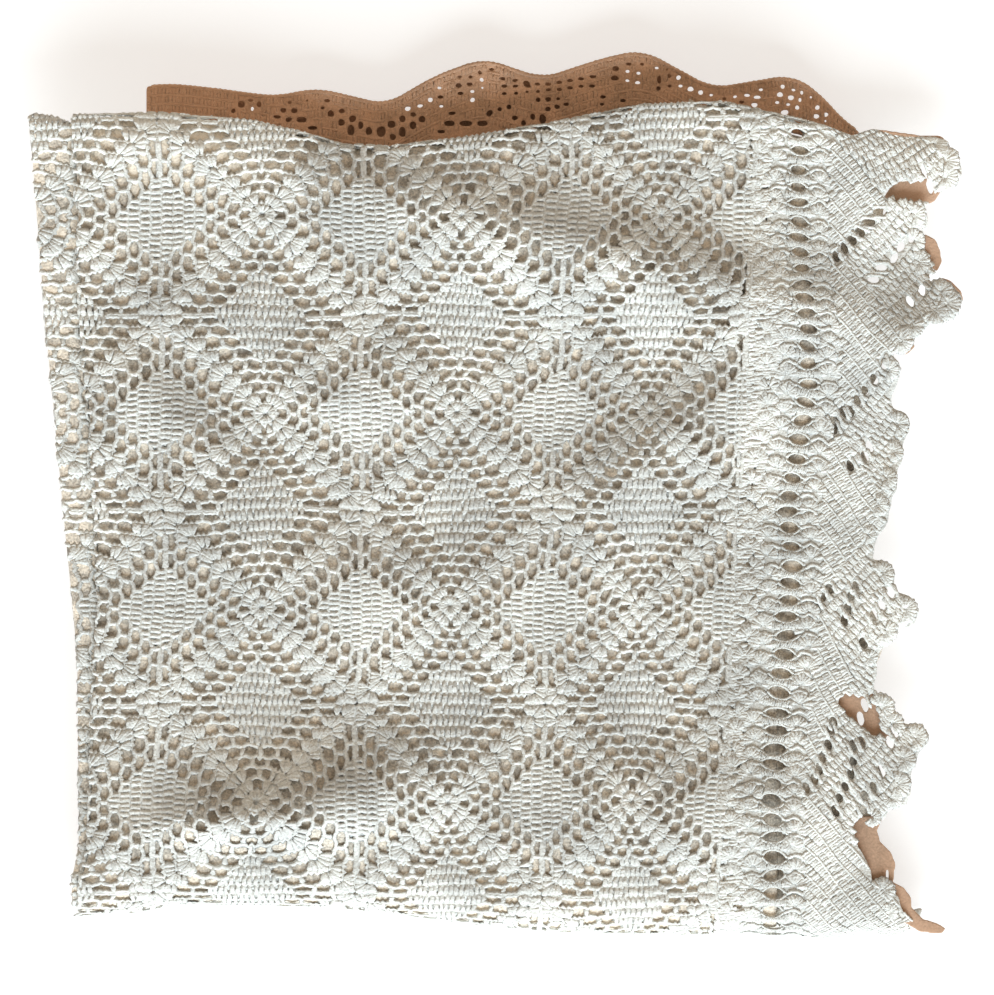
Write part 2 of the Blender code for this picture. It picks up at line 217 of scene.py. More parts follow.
class YarnHeap:
    # gathers tubes in flat cloth places, to become one mesh

    def __init__(self):
        self.points, self.quads, self.fans, self.tints, self.count = [], [], [], [], 0

    def tubes(self, path, width, height, lay, keep=None):
        # path: (tubes, rings + 2, 3) flat places; width and height: half sizes at each ring
        if keep is not None:
            path, width, height = path[keep], width[keep], height[keep]
        if not len(path):
            return
        step = np.gradient(path[..., :2], axis=1)
        step /= np.maximum(np.linalg.norm(step, axis=-1, keepdims=True), 1e-6)
        across = np.stack([-step[..., 1], step[..., 0], 0 * step[..., 0]], -1)
        up = np.zeros_like(across)
        up[..., 2] = 1
        mid, across, up = path[:, 1:-1], across[:, 1:-1], up[:, 1:-1]
        w, hgt = width[..., None], height[..., None]
        ring = np.stack([mid + across * w, mid + up * hgt, mid - across * w, mid - up * hgt], 2)
        n, rings = ring.shape[:2]
        flat = np.concatenate([ring.reshape(n, -1, 3), path[:, :1], path[:, -1:]], 1)
        quads, fans = tubeFaces(n, rings, self.count)
        self.quads.append(quads)
        self.fans.append(fans)
        laid = lay(flat[..., 0], flat[..., 1], flat[..., 2]).reshape(-1, 3)
        self.points.append(laid)
        tints = np.repeat(rng.uniform(-stitchTint, stitchTint, n), flat.shape[1])
        # each stitch's random tone, plus painted light from the places above
        self.tints.append(tints + paintedLight(laid[:, 0], laid[:, 1]))
        self.count += flat.shape[0] * flat.shape[1]

    def piece(self, name, material):
        points = np.concatenate(self.points) * mm
        faces = np.concatenate(self.quads).tolist() + np.concatenate(self.fans).tolist()
        mesh = bpy.data.meshes.new(name)
        mesh.from_pydata(points.tolist(), [], faces)
        triangles = 2 * sum(len(q) for q in self.quads) + sum(len(f) for f in self.fans)
        return pieceOf(name, mesh, np.concatenate(self.tints), material, triangles)


def closedSheet(name, sides, kept, material):
    # a thin closed sheet from a grid of upper and lower points, with the cells that are kept
    index = np.arange(sides[..., 0].size).reshape(sides.shape[:3])
    faces = []
    for corners, turned in zip(index, (1, -1)):
        quad = np.stack([corners[:-1, :-1], corners[1:, :-1], corners[1:, 1:], corners[:-1, 1:]], -1)[kept]
        faces += quad[:, ::turned].tolist()
    padded = np.pad(kept, 1)
    top, low = index
    for i, j in np.argwhere(kept):
        around = ((padded[i, j + 1], (i, j), (i, j + 1)), (padded[i + 2, j + 1], (i + 1, j + 1), (i + 1, j)),
                  (padded[i + 1, j], (i + 1, j), (i, j)), (padded[i + 1, j + 2], (i, j + 1), (i + 1, j + 1)))
        faces += [[top[a], low[a], low[b], top[b]] for filled, a, b in around if not filled]
    mesh = bpy.data.meshes.new(name)
    mesh.from_pydata((sides.reshape(-1, 3) * mm).tolist(), [], faces)
    trimmed = bmesh.new()
    trimmed.from_mesh(mesh)
    bmesh.ops.delete(trimmed, geom=[v for v in trimmed.verts if not v.link_faces], context="VERTS")
    bmesh.ops.recalc_face_normals(trimmed, faces=trimmed.faces)
    trimmed.to_mesh(mesh)
    trimmed.free()
    places = np.empty(3 * len(mesh.vertices), np.float32)
    mesh.vertices.foreach_get("co", places)
    x, y = places.reshape(-1, 3)[:, :2].T / mm
    # the sheet's tint is only the painted light of its places
    return pieceOf(name, mesh, paintedLight(x, y), material, 2 * len(faces))


def roundedCorners(corners, kept, rounds=4):
    # corners along the cut edges move towards their neighbours, so that no steps are left
    padded = np.pad(kept, 1)
    edgesX = (padded[1:-1, :-1] != padded[1:-1, 1:])[..., None]
    edgesY = (padded[:-1, 1:-1] != padded[1:, 1:-1])[..., None]
    for _ in range(rounds):
        total, count = np.zeros_like(corners), np.zeros(corners.shape[:2] + (1,))
        for edges, before, after in ((edgesX, np.s_[:-1], np.s_[1:]), (edgesY, np.s_[:, :-1], np.s_[:, 1:])):
            total[before] += edges * corners[after]
            total[after] += edges * corners[before]
            count[before] += edges
            count[after] += edges
        corners = np.where(count > 0, (corners + total / np.maximum(count, 1)) / 2, corners)
    return corners


def gridSheet(name, material, box, cell, inside, lay, height, thickness=0.5):
    # a flat sheet of small cells laid onto the folds, kept where its middles are inside
    x = np.arange(box[0], box[1] + cell, cell)
    y = np.arange(box[2], box[3] + cell, cell)
    middleX, middleY = np.meshgrid(x[:-1] + cell / 2, y[:-1] + cell / 2, indexing="ij")
    kept = inside(middleX, middleY)
    corners = roundedCorners(np.stack(np.meshgrid(x, y, indexing="ij"), -1), kept)
    sides = [lay(corners[..., 0], corners[..., 1], height + side * thickness / 2) for side in (1, -1)]
    return closedSheet(name, np.stack(sides), kept, material)


def postPath(base, top, low, high):
    # a stitch from its base to its top: tips tucked under, its middle raised
    shares = np.array([0.0, 0.16, 0.5, 0.84, 1.0])
    flat = base[:, None] + (top - base)[:, None] * shares[None, :, None]
    rise = np.array([low, 0.45 * high, high, 0.7 * high, low])
    return np.concatenate([flat, np.broadcast_to(rise, flat.shape[:2])[..., None]], -1)


cottonYarn = dict(
    colour=(0.775, 0.79, 0.77),
    tintReach=0.9,
    roughness=0.9,
    sheen=0.12,
    specular=0.1,
    patchScale=22,
    mottle=0.26,        # how far the darkest places fall below the colour
    paleShare=0.6,      # and the palest rise over it, as a share of that
    rampEnds=(0.35, 0.6),
    fuzzScale=760,
    fuzzTint=0.9,
    bump=0.75,
    fuzzDepth=0.002,
    fuzzRelief=0.8,
    lumpScale=330,
)
# the lower plies are the same white yarn: their tan, darker colour is painted shade
groundYarnPaintedShade = dict(colour=(0.76, 0.71, 0.63), bump=0.6, mottle=0.48, patchScale=110)


def cottonMaterial(name, yarn):
    # colour from patches, fuzz and the tint of each stitch, which holds its random tone and the painted
    # light; relief from fuzz and the lumps of the ply
    material = bpy.data.materials.new(name)
    material.use_nodes = True
    nodes, links = material.node_tree.nodes, material.node_tree.links
    shader = nodes["Principled BSDF"]
    shader.inputs["Roughness"].default_value = cottonYarn["roughness"]
    shader.inputs["Sheen Weight"].default_value = cottonYarn["sheen"]
    shader.inputs["Specular IOR Level"].default_value = cottonYarn["specular"]
    shader.inputs["Diffuse Roughness"].default_value = 1
    place = nodes.new("ShaderNodeTexCoord")

    def noise(scale, detail):
        found = nodes.new("ShaderNodeTexNoise")
        found.inputs["Scale"].default_value = scale
        found.inputs["Detail"].default_value = detail
        links.new(place.outputs["Object"], found.inputs["Vector"])
        return found.outputs["Fac"]

    def added(value, reach, other):
        # value times reach, plus other
        found = nodes.new("ShaderNodeMath")
        found.operation = "MULTIPLY_ADD"
        found.inputs[1].default_value = reach
        links.new(value, found.inputs[0])
        links.new(other, found.inputs[2])
        return found.outputs[0]

    patches, fuzz = noise(yarn["patchScale"], 4), noise(cottonYarn["fuzzScale"], 3)
    lumps = noise(cottonYarn["lumpScale"], 2)
    tint = nodes.new("ShaderNodeAttribute")
    tint.attribute_name = "tint"
    tone = added(fuzz, cottonYarn["fuzzTint"], added(tint.outputs["Fac"], cottonYarn["tintReach"], patches))
    halved = nodes.new("ShaderNodeMath")
    halved.operation = "MULTIPLY"
    halved.inputs[1].default_value = 0.5
    ramp = nodes.new("ShaderNodeValToRGB")
    shares = (-1, cottonYarn["paleShare"])
    for end, position, share in zip(ramp.color_ramp.elements, cottonYarn["rampEnds"], shares):
        end.position = position
        end.color = (*[min(1, c * (1 + share * yarn["mottle"])) for c in yarn["colour"]], 1)
    links.new(tone, halved.inputs[0])
    links.new(halved.outputs[0], ramp.inputs["Fac"])
    links.new(ramp.outputs["Color"], shader.inputs["Base Color"])
    relief = nodes.new("ShaderNodeBump")
    relief.inputs["Strength"].default_value = yarn["bump"]
    relief.inputs["Distance"].default_value = cottonYarn["fuzzDepth"]
    links.new(added(fuzz, cottonYarn["fuzzRelief"], lumps), relief.inputs["Height"])
    links.new(relief.outputs["Normal"], shader.inputs["Normal"])
    return material


yarnMaterial = cottonMaterial("cottonYarn", cottonYarn)

# Squares: each is worked in rounds from a flower in its middle, and joined to its neighbours.
squares = dict(
    seamStations=(226, -62, -242),
    seamColumns=((158, 143, 134), (45, 29, 26), (-79, -82, -85), (-202, -199, -208), (-325, -320, -330),
                 (-223, -223, -223), (-346, -346, -346)),
    columns=4,
    stripColumn=5,      # the column of squares that the left strip shows
    stripOverlap=7,
    stripLift=1.1,
    seamRows=(343, 226, 109, -8, -125, -239, -357),
    rounds=9,
    firstDense=5,       # the round where the dense stretches begin
    stitch=0.059,       # width of a stitch, in half sides of a square
    growth=0.0507,      # each round the dense stretch grows by twice this at either end
    opening=0.1707,
    postWidth=1.5,
    postHeight=0.88,
    shellWidth=1.75,
    chainWidth=1.7,
    chainHeight=0.5,
    chainLift=-0.12,
    openRope=(1.4, 0.75, 0.3),      # half width, half height and lift over the openings
    shellLift=-0.05,
    arch=0.027,
    overlap=0.006,      # how far a stitch reaches over the rounds beside its own
    jitter=0.024,
    drift=1.7,
    backing=-0.6,
    bow=-0.75,
)
roundness = ((0, 1), (0.11, 1), (0.22, 0.85), (0.33, 0.65), (0.44, 0.5), (0.56, 0.35), (0.67, 0.22),
             (0.78, 0.12), (0.89, 0.05), (1, 0))


def driftOf(t, s):
    # the hand-worked cloth never lies quite straight
    a = np.sin(t / 23 + 1.3 * np.sin(s / 31)) + np.sin(s / 17 + t / 41 + 2)
    b = np.sin(s / 27 + 1.1 * np.sin(t / 29)) + np.sin(t / 19 - s / 37 + 1)
    c = np.sin(t / 5.3 + s / 8.1) * np.sin(s / 6.7 - t / 9.4 + 1)
    return squares["drift"] * (0.5 * a + 0.25 * c), squares["drift"] * (0.5 * b - 0.25 * c)


def seamPlace(column, s):
    stations = np.array(squares["seamStations"][::-1], float)
    values = np.array(squares["seamColumns"][column][::-1], float)
    return np.interp(s, stations, values)


def squareToCloth(column, row, u, v):
    upper, lower = squares["seamRows"][row], squares["seamRows"][row + 1]
    s = (upper + lower) / 2 + v * (upper - lower) / 2
    right, left = seamPlace(column, s), seamPlace(column + 1, s)
    t = (right + left) / 2 + u * (right - left) / 2
    dt, ds = driftOf(t, s)
    return t + dt, s + ds


def sidePlace(c, d, turn):
    # c along a side and d out from the middle, rounded near the middle, for one of four sides
    rho = np.interp(d, *np.array(roundness).T)
    angle = np.where(d > 1e-6, c / np.maximum(d, 1e-6), 0) * math.pi / 4
    u = c * (1 - rho) + d * np.sin(angle) * rho
    v = d * (1 - rho) + d * np.cos(angle) * rho
    for _ in range(turn):
        u, v = -v, u
    return u, v


def openWork(r):
    # half the dense stretch of a round's side, and where its openings end and the shell begins
    opening, later = squares["opening"], r - squares["firstDense"]
    if later < 0:
        return 0.0, (r - 1) / 2 * opening
    dense = (2 * later + 0.5) * squares["growth"]
    return dense, dense + 2 * opening


def roundStitches(r):
    # (base c, top c, kind) of the stitches of one side in a round
    stitch, opening = squares["stitch"], squares["opening"]
    inner, outer = (r - 1) / squares["rounds"], r / squares["rounds"]
    if r == 1:
        return [(0.0, c * outer, 2) for c in (-0.75, -0.25, 0.25, 0.75)]
    dense, reach = openWork(r)
    if r < squares["firstDense"]:
        places = [(k - (r - 1) / 2) * opening for k in range(1, r - 1)]
        found = [(place * 0.8, place, 3) for place in places]
    else:
        count = max(1, int(round(2 * dense / stitch)))
        found = [((2 * k + 1 - count) * dense / count,) * 2 + (0,) for k in range(count)]
        found += [(side * (dense + opening),) * 2 + (3,) for side in (-1, 1)]
    span = outer - reach
    count = int(round(span / squares["growth"] + 0.2))
    for k in range(count):
        share = k / (count - 1)
        top, base = reach + span * (0.07 + 0.86 * share), inner - 0.05 * (1 - share) - 0.004
        found += [(side * base, side * top, 1) for side in (-1, 1)]
    return found


def onPly(t, s, left, under):
    # true on the shown part of a ply, with its left fold and how many plies it lies under the outer one
    near, far = nearTurn(t), farTurn(t)
    turnX = along(left, np.clip(s, near, far)) + halfPitch + surface
    reach = fold["pitch"] * math.pi * 0.98
    inside = (t > turnX - halfPitch * math.pi) & (s < far + (fold["farBend"] - under) * reach)
    return inside & (s > near - (fold["nearBend"] - under) * reach)


def inTop(path):
    return onPly(path[..., 0], path[..., 1], "outerLeft", 0).all(-1)


# half widths and heights of a stitch at its three rings: dense, shell, flower, beside an opening,
# plain and tapered
stitchForms = (
    ((1.22, 0.93, 1.2), (1.0, 1.1, 1.05)),
    ((0.55, 1.0, 1.25), (0.75, 0.9, 0.85)),
    ((0.4, 0.75, 1.02), (0.7, 0.95, 0.9)),
    ((1.35, 0.95, 1.3), (1.0, 1.0, 1.0)),
    ((1.1, 1.0, 1.05), (0.75, 0.85, 0.75)),
    ((0.45, 0.85, 1.1), (0.8, 0.95, 0.65)),
)


def bowed(base, top, bow):
    # how far the three inner places of each stitch move to its side
    span = top - base
    side = np.stack([-span[:, 1], span[:, 0]], -1) / np.maximum(np.hypot(*span.T), 0.1)[:, None]
    return (bow[:, None] * side)[:, None] * np.array([0.7, 1.0, 0.7])[:, None]


def addSquare(heap, column, row, lay=layTop, keep=inTop):
    size = squares
    for r in range(1, size["rounds"] + 1):
        inner, outer = (r - 1) / size["rounds"], r / size["rounds"]
        stitches = np.array(roundStitches(r), float)
        kinds = stitches[:, 2].astype(int)
        n = len(stitches)
        widths = np.array([stitchForms[k][0] for k in kinds])
        heights = np.array([stitchForms[k][1] for k in kinds])
        wide = np.where((kinds == 1) | (kinds == 2), size["shellWidth"], size["postWidth"])[:, None]
        loose = np.where(kinds == 0, 0.4, 1.0) * size["jitter"] * 0.5
        for turn in range(4):
            jit = rng.normal(0, 1, (n, 4)) * loose[:, None]
            start = 0.02 if r == 1 else inner
            over = np.where(kinds == 0, size["overlap"], 0)
            bu, bv = sidePlace(stitches[:, 0] + jit[:, 0], start - over + 0.3 * jit[:, 1], turn)
            tu, tv = sidePlace(stitches[:, 1] + jit[:, 2], outer + over + 0.3 * jit[:, 3], turn)
            if r == 1:
                tu, tv = sidePlace(stitches[:, 1], np.full(n, outer), turn)
                bu, bv = 0.18 * tu, 0.18 * tv
            base = np.stack(squareToCloth(column, row, bu, bv), -1)
            top = np.stack(squareToCloth(column, row, tu, tv), -1)
            path = postPath(base, top, -0.5, 0.3)
            path[..., 2] += np.where(kinds == 1, 0.2, 0)[:, None] + rng.normal(0, 0.12, (n, 1))
            path[:, 1:4, :2] += bowed(base, top, np.where(kinds == 0, size["bow"], 0) + rng.normal(0, 0.2, n))
            width = wide * widths * rng.uniform(0.84, 1.12, (n, 1))
            height = size["postHeight"] * heights * rng.uniform(0.88, 1.12, (n, 1))
            heap.tubes(path, width, height, lay, keep=keep(path))
            addRoundChain(heap, column, row, r, turn, lay, keep)


def addRoundChain(heap, column, row, r, turn, lay, keep):
    # the rope of stitch tops that closes a round: high on dense stretches, arched over openings
    size = squares
    outer = r / size["rounds"] * (0.99 if r == size["rounds"] else 1)
    links = max(6, int(round(2 * outer / size["stitch"] * 2)))
    c = np.linspace(-outer, outer, links + 1)
    dense, reach = openWork(r)
    over = (np.abs(c) > dense) & (np.abs(c) < reach)
    cycle = (np.abs(c) - dense if r >= size["firstDense"] else c + reach) / size["opening"]
    arch = size["arch"] if r < size["rounds"] else 0
    bulge = np.where(over, arch * np.abs(np.sin(math.pi * cycle)), 0)
    odd = np.where(np.arange(len(c)) % 2 == 0, 1, -1)
    u, v = sidePlace(c, outer + bulge + np.where(over, 0.003, 0.009) * odd, turn)
    t, s = squareToCloth(column, row, u, v)
    h = np.where(over, size["openRope"][2], size["chainLift"] + 0.25 * odd)
    h = np.where(np.abs(c) > reach, size["shellLift"], h) + rng.normal(0, 0.08, len(c))
    path = np.stack([t, s, h], -1)[None]
    shown = np.flatnonzero(keep(path[:, :, None, :].reshape(-1, 1, 3)))
    if len(shown) < 4:
        return
    first, last = shown[0], shown[-1]
    path, over = path[:, first:last + 1], over[first:last + 1]
    beat = rng.uniform(0.88, 1.12, len(over)) * np.where(np.arange(len(over)) % 2 == 0, 1.12, 0.85)
    wide = np.where(over, size["openRope"][0], size["chainWidth"] * beat)
    high = np.where(over, size["openRope"][1], size["chainHeight"] * beat)
    heap.tubes(path, wide[None, 1:-1], high[None, 1:-1], lay)


def addBacking(heap, column, row, lay=layTop, keep=inTop):
    # flat strands close under the dense stretches and shells, so that no light passes between
    size = squares
    depth = fold["squareHalf"] / size["rounds"]
    for r in range(1, size["rounds"] + 1):
        inner, outer = (r - 1) / size["rounds"], r / size["rounds"]
        dense, reach = openWork(r)
        spans = [(-outer, outer, 0.5, 0.45)] if r == 1 else []
        if r >= size["firstDense"]:
            spans.append((-dense - 0.02, dense + 0.02, 0.5, 0.56))
        if r > 1:
            low, high = reach + 0.18 * (outer - reach), outer * 0.99
            spans += [(low, high, 0.62, 0.4), (-high, -low, 0.62, 0.4)]
        for low, high, level, wide in spans:
            for turn in range(4):
                c = np.linspace(low, high, 5)
                u, v = sidePlace(c, inner + level / size["rounds"], turn)
                path = np.stack([*squareToCloth(column, row, u, v), np.full(5, size["backing"])], -1)[None]
                half = np.full((1, 3), wide * depth)
                heap.tubes(path, half, 0 * half + 0.3, lay, keep=keep(path))


def makeSquares():
    pieces = []
    for row in range(len(squares["seamRows"]) - 1):
        heap = YarnHeap()
        for column in range(squares["columns"]):
            addSquare(heap, column, row)
            addBacking(heap, column, row)
        pieces.append(heap.piece("squaresRow" + str(row + 1), yarnMaterial))
    return pieces


squarePieces = makeSquares()
print("squares worked")


def layStrip(t, s, h):
    return layTop(t, s, h + squares["stripLift"], ply=-0.5, left="innerLeft")


def inStrip(path):
    # the third ply sticks out a little at the left, beyond the two above it
    t, s = path[..., 0], path[..., 1]
    besideTop = t < along("outerLeft", np.clip(s, nearTurn(t), farTurn(t))) + squares["stripOverlap"]
    return (onPly(t, s, "innerLeft", 2) & besideTop).all(-1)


def makeStrip():
    heap = YarnHeap()
    for row in range(len(squares["seamRows"]) - 1):
        addSquare(heap, squares["stripColumn"], row, layStrip, inStrip)
        addBacking(heap, squares["stripColumn"], row, layStrip, inStrip)
    return heap.piece("leftStrip", yarnMaterial)


stripPiece = makeStrip()
print("left strip worked")

# Right border: a column of lens-shaped openings between shells, then slanting rows that ripple
# in and out, ending in round shells. Cells, rows and places are in the flat cloth.
border = dict(
    # y of the openings of the column, and its middle line
    cells=(247.5, 237.9, 228.3, 218.1, 207.9, 195.9, 185.7, 176.7, 164.7, 155.7, 146.7, 137.1, 126.9,
           119.1, 110.1, 100.5, 90.3, 80.1, 67.5, 56.7, 45.9, 34.5, 22.5, 11.1, 0.3, -8.7, -18.3,
           -29.7, -41.7, -51.9, -62.1, -71.7, -83.1, -94.5, -105.9, -117.3, -129.9, -140.1, -151.5,
           -160.5, -171.9, -182.1, -193.5, -203.7, -216.3, -227.1, -237.9, -249.3, -260.1, -270.9,
           -281.7, -292.5),
    columnX=((247.5, 180.3), (195.9, 181.5), (164.7, 181.2), (137.1, 182.4), (119.1, 183.9),
             (100.5, 186.9), (67.5, 186.9), (56.7, 185.1), (34.5, 182.1), (11.1, 177.6), (0.3, 176.4),
             (-8.7, 174.6), (-29.7, 176.7), (-41.7, 177.3), (-62.1, 174.9), (-83.1, 173.5),
             (-105.9, 171.8), (-129.9, 168.5), (-151.5, 166.5), (-182.1, 165.7), (-237.9, 166.5),
             (-292.5, 164.1)),
    # y, and half sizes of the lens-shaped openings of the column there
    lensHalf=((-300, 7.3, 4.2), (-100, 7.2, 4.0), (60, 6.3, 3.5), (250, 5.9, 3.4)),
    lastGap=10.5,
    shellPlaces=((-13.8, -6.3), (12.6, -8.0)),      # from each opening
    shellHeight=10.8,
    shellShare=(0.74, 0.86),        # radius of a shell, as a share of that height
    shellTurn=9,
    thirdShell=(-24.5, -1.5),       # where the band is wide
    thirdShare=(0.72, 0.84),
    thirdTurn=14,
    bandStitch=(1.75, 1.3),         # spacing and half width in the band beside the squares
    bandRow=5.0,
    bandOverlap=2.5,
    bandGap=5.0,
    rowStart=18.5,
    # where each ripple turns, from its inner to its outer end, and the slant of its rows
    valleys=(((203.7, 144.3), (239.7, 182.1)), ((203.1, 40.5), (237.9, 86.1)),
             ((191.7, -65.1), (224.1, -21.9)), ((186.3, -174.9), (207.9, -122.1)),
             ((182.1, -330.0), (227.0, -285.0))),
    slants=(50, 49, 56, 62, 50),
    outerSlants=(-30, -46, -52, -45, -46),
    outerRelief=(0.26, 0.36, 0.36, 0.36, 0.36),
    innerRelief=0.52,
    topCorner=(202.0, 218.0),
    farLine=((150, 300), (300, 300)),
    rowPitch=5.0,
    rowCount=40,                    # to either side of the place where a zone's rows begin
    rowReach=160,
    stitch=3.5,
    postWidth=1.15,
    ropeWidth=0.85,
    lensRope=0.8,
    barStitches=13,
    barReach=1.12,                  # in half widths of an opening
    barLength=(1.4, 5.0),
    barWidth=0.75,
    overShell=((7.6, 0.2), (9.2, -0.5), (11.0, 0.4), (13.5, 1.2), (16.5, 0.0), (19.0, -2.6)),
    eyelet=(4.4, 2.25),             # half length and half width
    eyeletRim=(0.6, 0.9, 1.05),     # how far its two stitches stand off it, and their half width
    eyeletLean=(-66, 4.2, 209, 120),    # degrees, turn for each mm past the x, only above the y
    slitReach=(-31, -18),           # where the small slits beside the squares lie, from the lenses
    slitHalf=(1.1, 2.3),
    slits=100,
    backing=-0.55,
)
borderOutline = (
    (130, 261.9), (266.1, 261.9), (269.1, 217.5), (273.9, 212.1), (273.3, 207.9), (276.3, 203.7),
    (279.9, 198.9), (279.9, 191.1), (275.1, 187.5), (266.1, 186.3), (262.5, 177.9), (257.1, 174.9),
    (259.5, 168.9), (258.9, 161.1), (263.7, 155.1), (267.3, 147.9), (266.7, 134.7), (270.3, 129.9),
    (275.1, 126.9), (279.9, 120.9), (279.9, 114.9), (275.1, 110.1), (269.1, 107.1), (263.1, 104.7),
    (257.1, 101.1), (251.7, 96.9), (251.1, 92.7), (245.1, 88.5), (237.3, 85.5), (242.1, 80.7),
    (242.7, 74.7), (240.9, 66.9), (237.9, 60.9), (237.3, 53.1), (242.1, 51.3), (246.9, 50.1),
    (248.7, 44.7), (248.1, 38.7), (245.1, 33.9), (243.9, 29.7), (245.1, 24.9), (243.9, 20.7),
    (240.9, 17.1), (240.9, 9.9), (240.3, 3.9), (237.9, -0.3), (236.7, -5.1), (236.1, -14.1),
    (233.1, -20.1), (228.9, -23.1), (227.1, -33.3), (225.3, -39.3), (230.1, -38.1), (236.1, -39.9),
    (239.1, -45.3), (239.7, -56.1), (244.5, -58.5), (249.9, -60.9), (254.1, -67.5), (252.9, -74.1),
    (248.7, -78.3), (242.1, -79.5), (240.3, -84.3), (236.1, -89.1), (231.3, -90.9), (228.9, -95.1),
    (228.3, -107.1), (227.1, -117.3), (233.1, -122.1), (239.7, -128.1), (245.1, -137.1), (251.1, -137.7),
    (257.1, -138.9), (260.7, -143.7), (259.5, -149.7), (254.1, -153.3), (252.9, -159.3), (249.9, -165.3),
    (248.7, -170.1), (249.9, -175.5), (247.5, -183.9), (243.3, -187.5), (236.1, -188.7), (233.1, -194.1),
    (224.1, -204.9), (216.9, -209.1), (224.7, -223.5), (225.3, -231.9), (234.9, -232.5), (241.5, -240.3),
    (243.5, -248.5), (250, -255), (256, -264), (257, -308.1), (130, -308.1),
)
borderHollows = (
    ((237.9, 188.7), (245.1, 189.9), (257.1, 191.1), (263.1, 186.3), (262.5, 177.9), (251.1, 176.1),
     (239.1, 177.9), (232.5, 180.3)),
    ((204.3, -123.9), (207.9, -117.9), (215, -118), (223, -121.5), (230.5, -131), (233.7, -144.9),
     (225.3, -143.7), (218.1, -137.1), (209.1, -129.9)),
    ((217.5, -189.3), (233.1, -192.9), (224.1, -204.9), (216.9, -209.1), (213.9, -200.1)),
    ((259, 161), (269, 158), (271, 147), (270, 135), (275, 131), (282, 124), (276, 124), (270, 127.5),
     (263.5, 132), (262, 139), (258.5, 148), (254, 155)),
)
# openings where the rows turn
eyelets = (
    (204, 144.3), (209.1, 149.1), (213.5, 154.5), (218.8, 158.9), (223.7, 165), (230.7, 171.5),
    (231.7, 137.7), (227.1, 130.5), (248.7, 117.3), (203.1, 40.5), (203.4, 45.9), (208.5, 50.7),
    (213.3, 51.3), (216.9, 57.3), (221.7, 63.9), (227.1, 70.5), (232.5, 80.1), (212.7, 18.3),
    (221.7, 23.7), (224.1, 30.3), (191.7, -65.1), (195.9, -60.3), (200.1, -55.5), (208.8, -74.4),
    (211.7, -67.9), (213.3, -60.3), (215.7, -53.7), (220.5, -87.9), (237.1, -57.9), (232.1, -65.4),
    (226.9, -71.9), (186.2, -174.9), (190.7, -169.5), (193.5, -163.9), (196, -156.5), (199.7, -149.6),
    (200.5, -140.1), (202.5, -135.3), (203.4, -189.3), (206.1, -181.1), (209.5, -174.1), (213.2, -167.1),
    (214.4, -159), (214.9, -150), (226.9, -174.5), (221.5, -179.5), (220.3, -187.6), (231.9, -165.2),
    (239.5, -141.3), (236.6, -147.9), (226.4, -121.9), (220.2, -147.9),
)
# openings seen right through: middle, half sizes, lean
gapsThrough = (
    (257, 195.5, 2.2, 4.6, 15), (261, 187, 2.2, 4.8, 8), (243.5, 150.5, 2.4, 4, -35),
    (249.5, 155, 2.2, 4.2, -35), (239, 143, 2.4, 4.2, -30), (255, 160.5, 1.8, 3.2, -20),
    (262, 131.5, 2.2, 3.4, 0), (256, 124, 2.8, 4.6, 0), (237.5, -58, 1.8, 3.4, 15),
    (232, -65.5, 2.2, 3.4, 15), (221.5, -125.5, 1.9, 4.6, 15), (219, -133.5, 2.1, 4.6, 12),
    (239.5, -141.5, 1.9, 4.2, 15), (236.5, -148, 1.8, 4.2, 15),
)
# round shells of the edge: x, y, the way it faces in degrees, radius
edgeShells = (
    (263.1, 212.1, 40, 9.6), (269.1, 201.9, 10, 10.2), (269.1, 192.3, -20, 9.6), (251.1, 168.9, 10, 7.8),
    (250.5, 153.9, 20, 8), (253, 141, 5, 8.6), (267, 122.5, 20, 8.8), (269.1, 116.1, -10, 10.8),
    (263.1, 111.9, -45, 9.6), (249.3, 102.9, -60, 8.4), (242.1, 93.9, -20, 9), (234.9, 75.9, 10, 7.8),
    (240.3, 43.5, 20, 8.4), (237.9, 27.3, 0, 7.2), (233.7, 11.1, -5, 7.8), (228.9, -5.1, -10, 7.8),
    (222.9, -23.1, 0, 6), (231.3, -46.5, 40, 8.4), (245.1, -68.1, 5, 9), (233.1, -81.3, -30, 8.4),
    (224.1, -96.9, -20, 5.4), (231.3, -126.9, 40, 9), (237.9, -136.5, 40, 7.8), (251.1, -144.9, 10, 9),
    (243.9, -158.1, -10, 9), (240.3, -173.1, -5, 9.6), (237.9, -180.9, -60, 7.2), (225.9, -192.9, -40, 6),
    (232, -237, 40, 8.4), (236, -250, 20, 6.5),
)


def insideOf(polygon, x, y):
    inside = np.zeros(x.shape, bool)
    for (ax, ay), (bx, by) in zip(polygon, polygon[1:] + polygon[:1]):
        crosses = (ay > y) != (by > y)
        slope = (bx - ax) / (by - ay) if by != ay else 0
        inside ^= crosses & (x < ax + (y - ay) * slope)
    return inside


def columnX(y):
    return np.interp(y, *np.array(border["columnX"][::-1]).T)


def layBorder(t, s, h):
    points = layTop(t, s, h)
    points[..., 2] += fluteHeight(points[..., 0], points[..., 1])
    return points


flute = dict(rises=(2.5, 7, 7, 7), sink=1.0, near=32.0, far=13.0, start=198, full=262)


def fluteHeight(x, y):
    # each ripple is highest along its line, and falls off slowly on its near side
    total = np.zeros_like(x)
    for k, ((ax, ay), (bx, by)) in enumerate(border["valleys"][:4]):
        length = math.hypot(bx - ax, by - ay)
        off = ((x - ax) * (by - ay) - (y - ay) * (bx - ax)) / length
        wave = np.exp(-(off / np.where(off > 0, flute["near"], flute["far"])) ** 2)
        total = total + flute["rises"][k] * wave
    return (total - flute["sink"]) * eased(x, flute["start"], flute["full"])


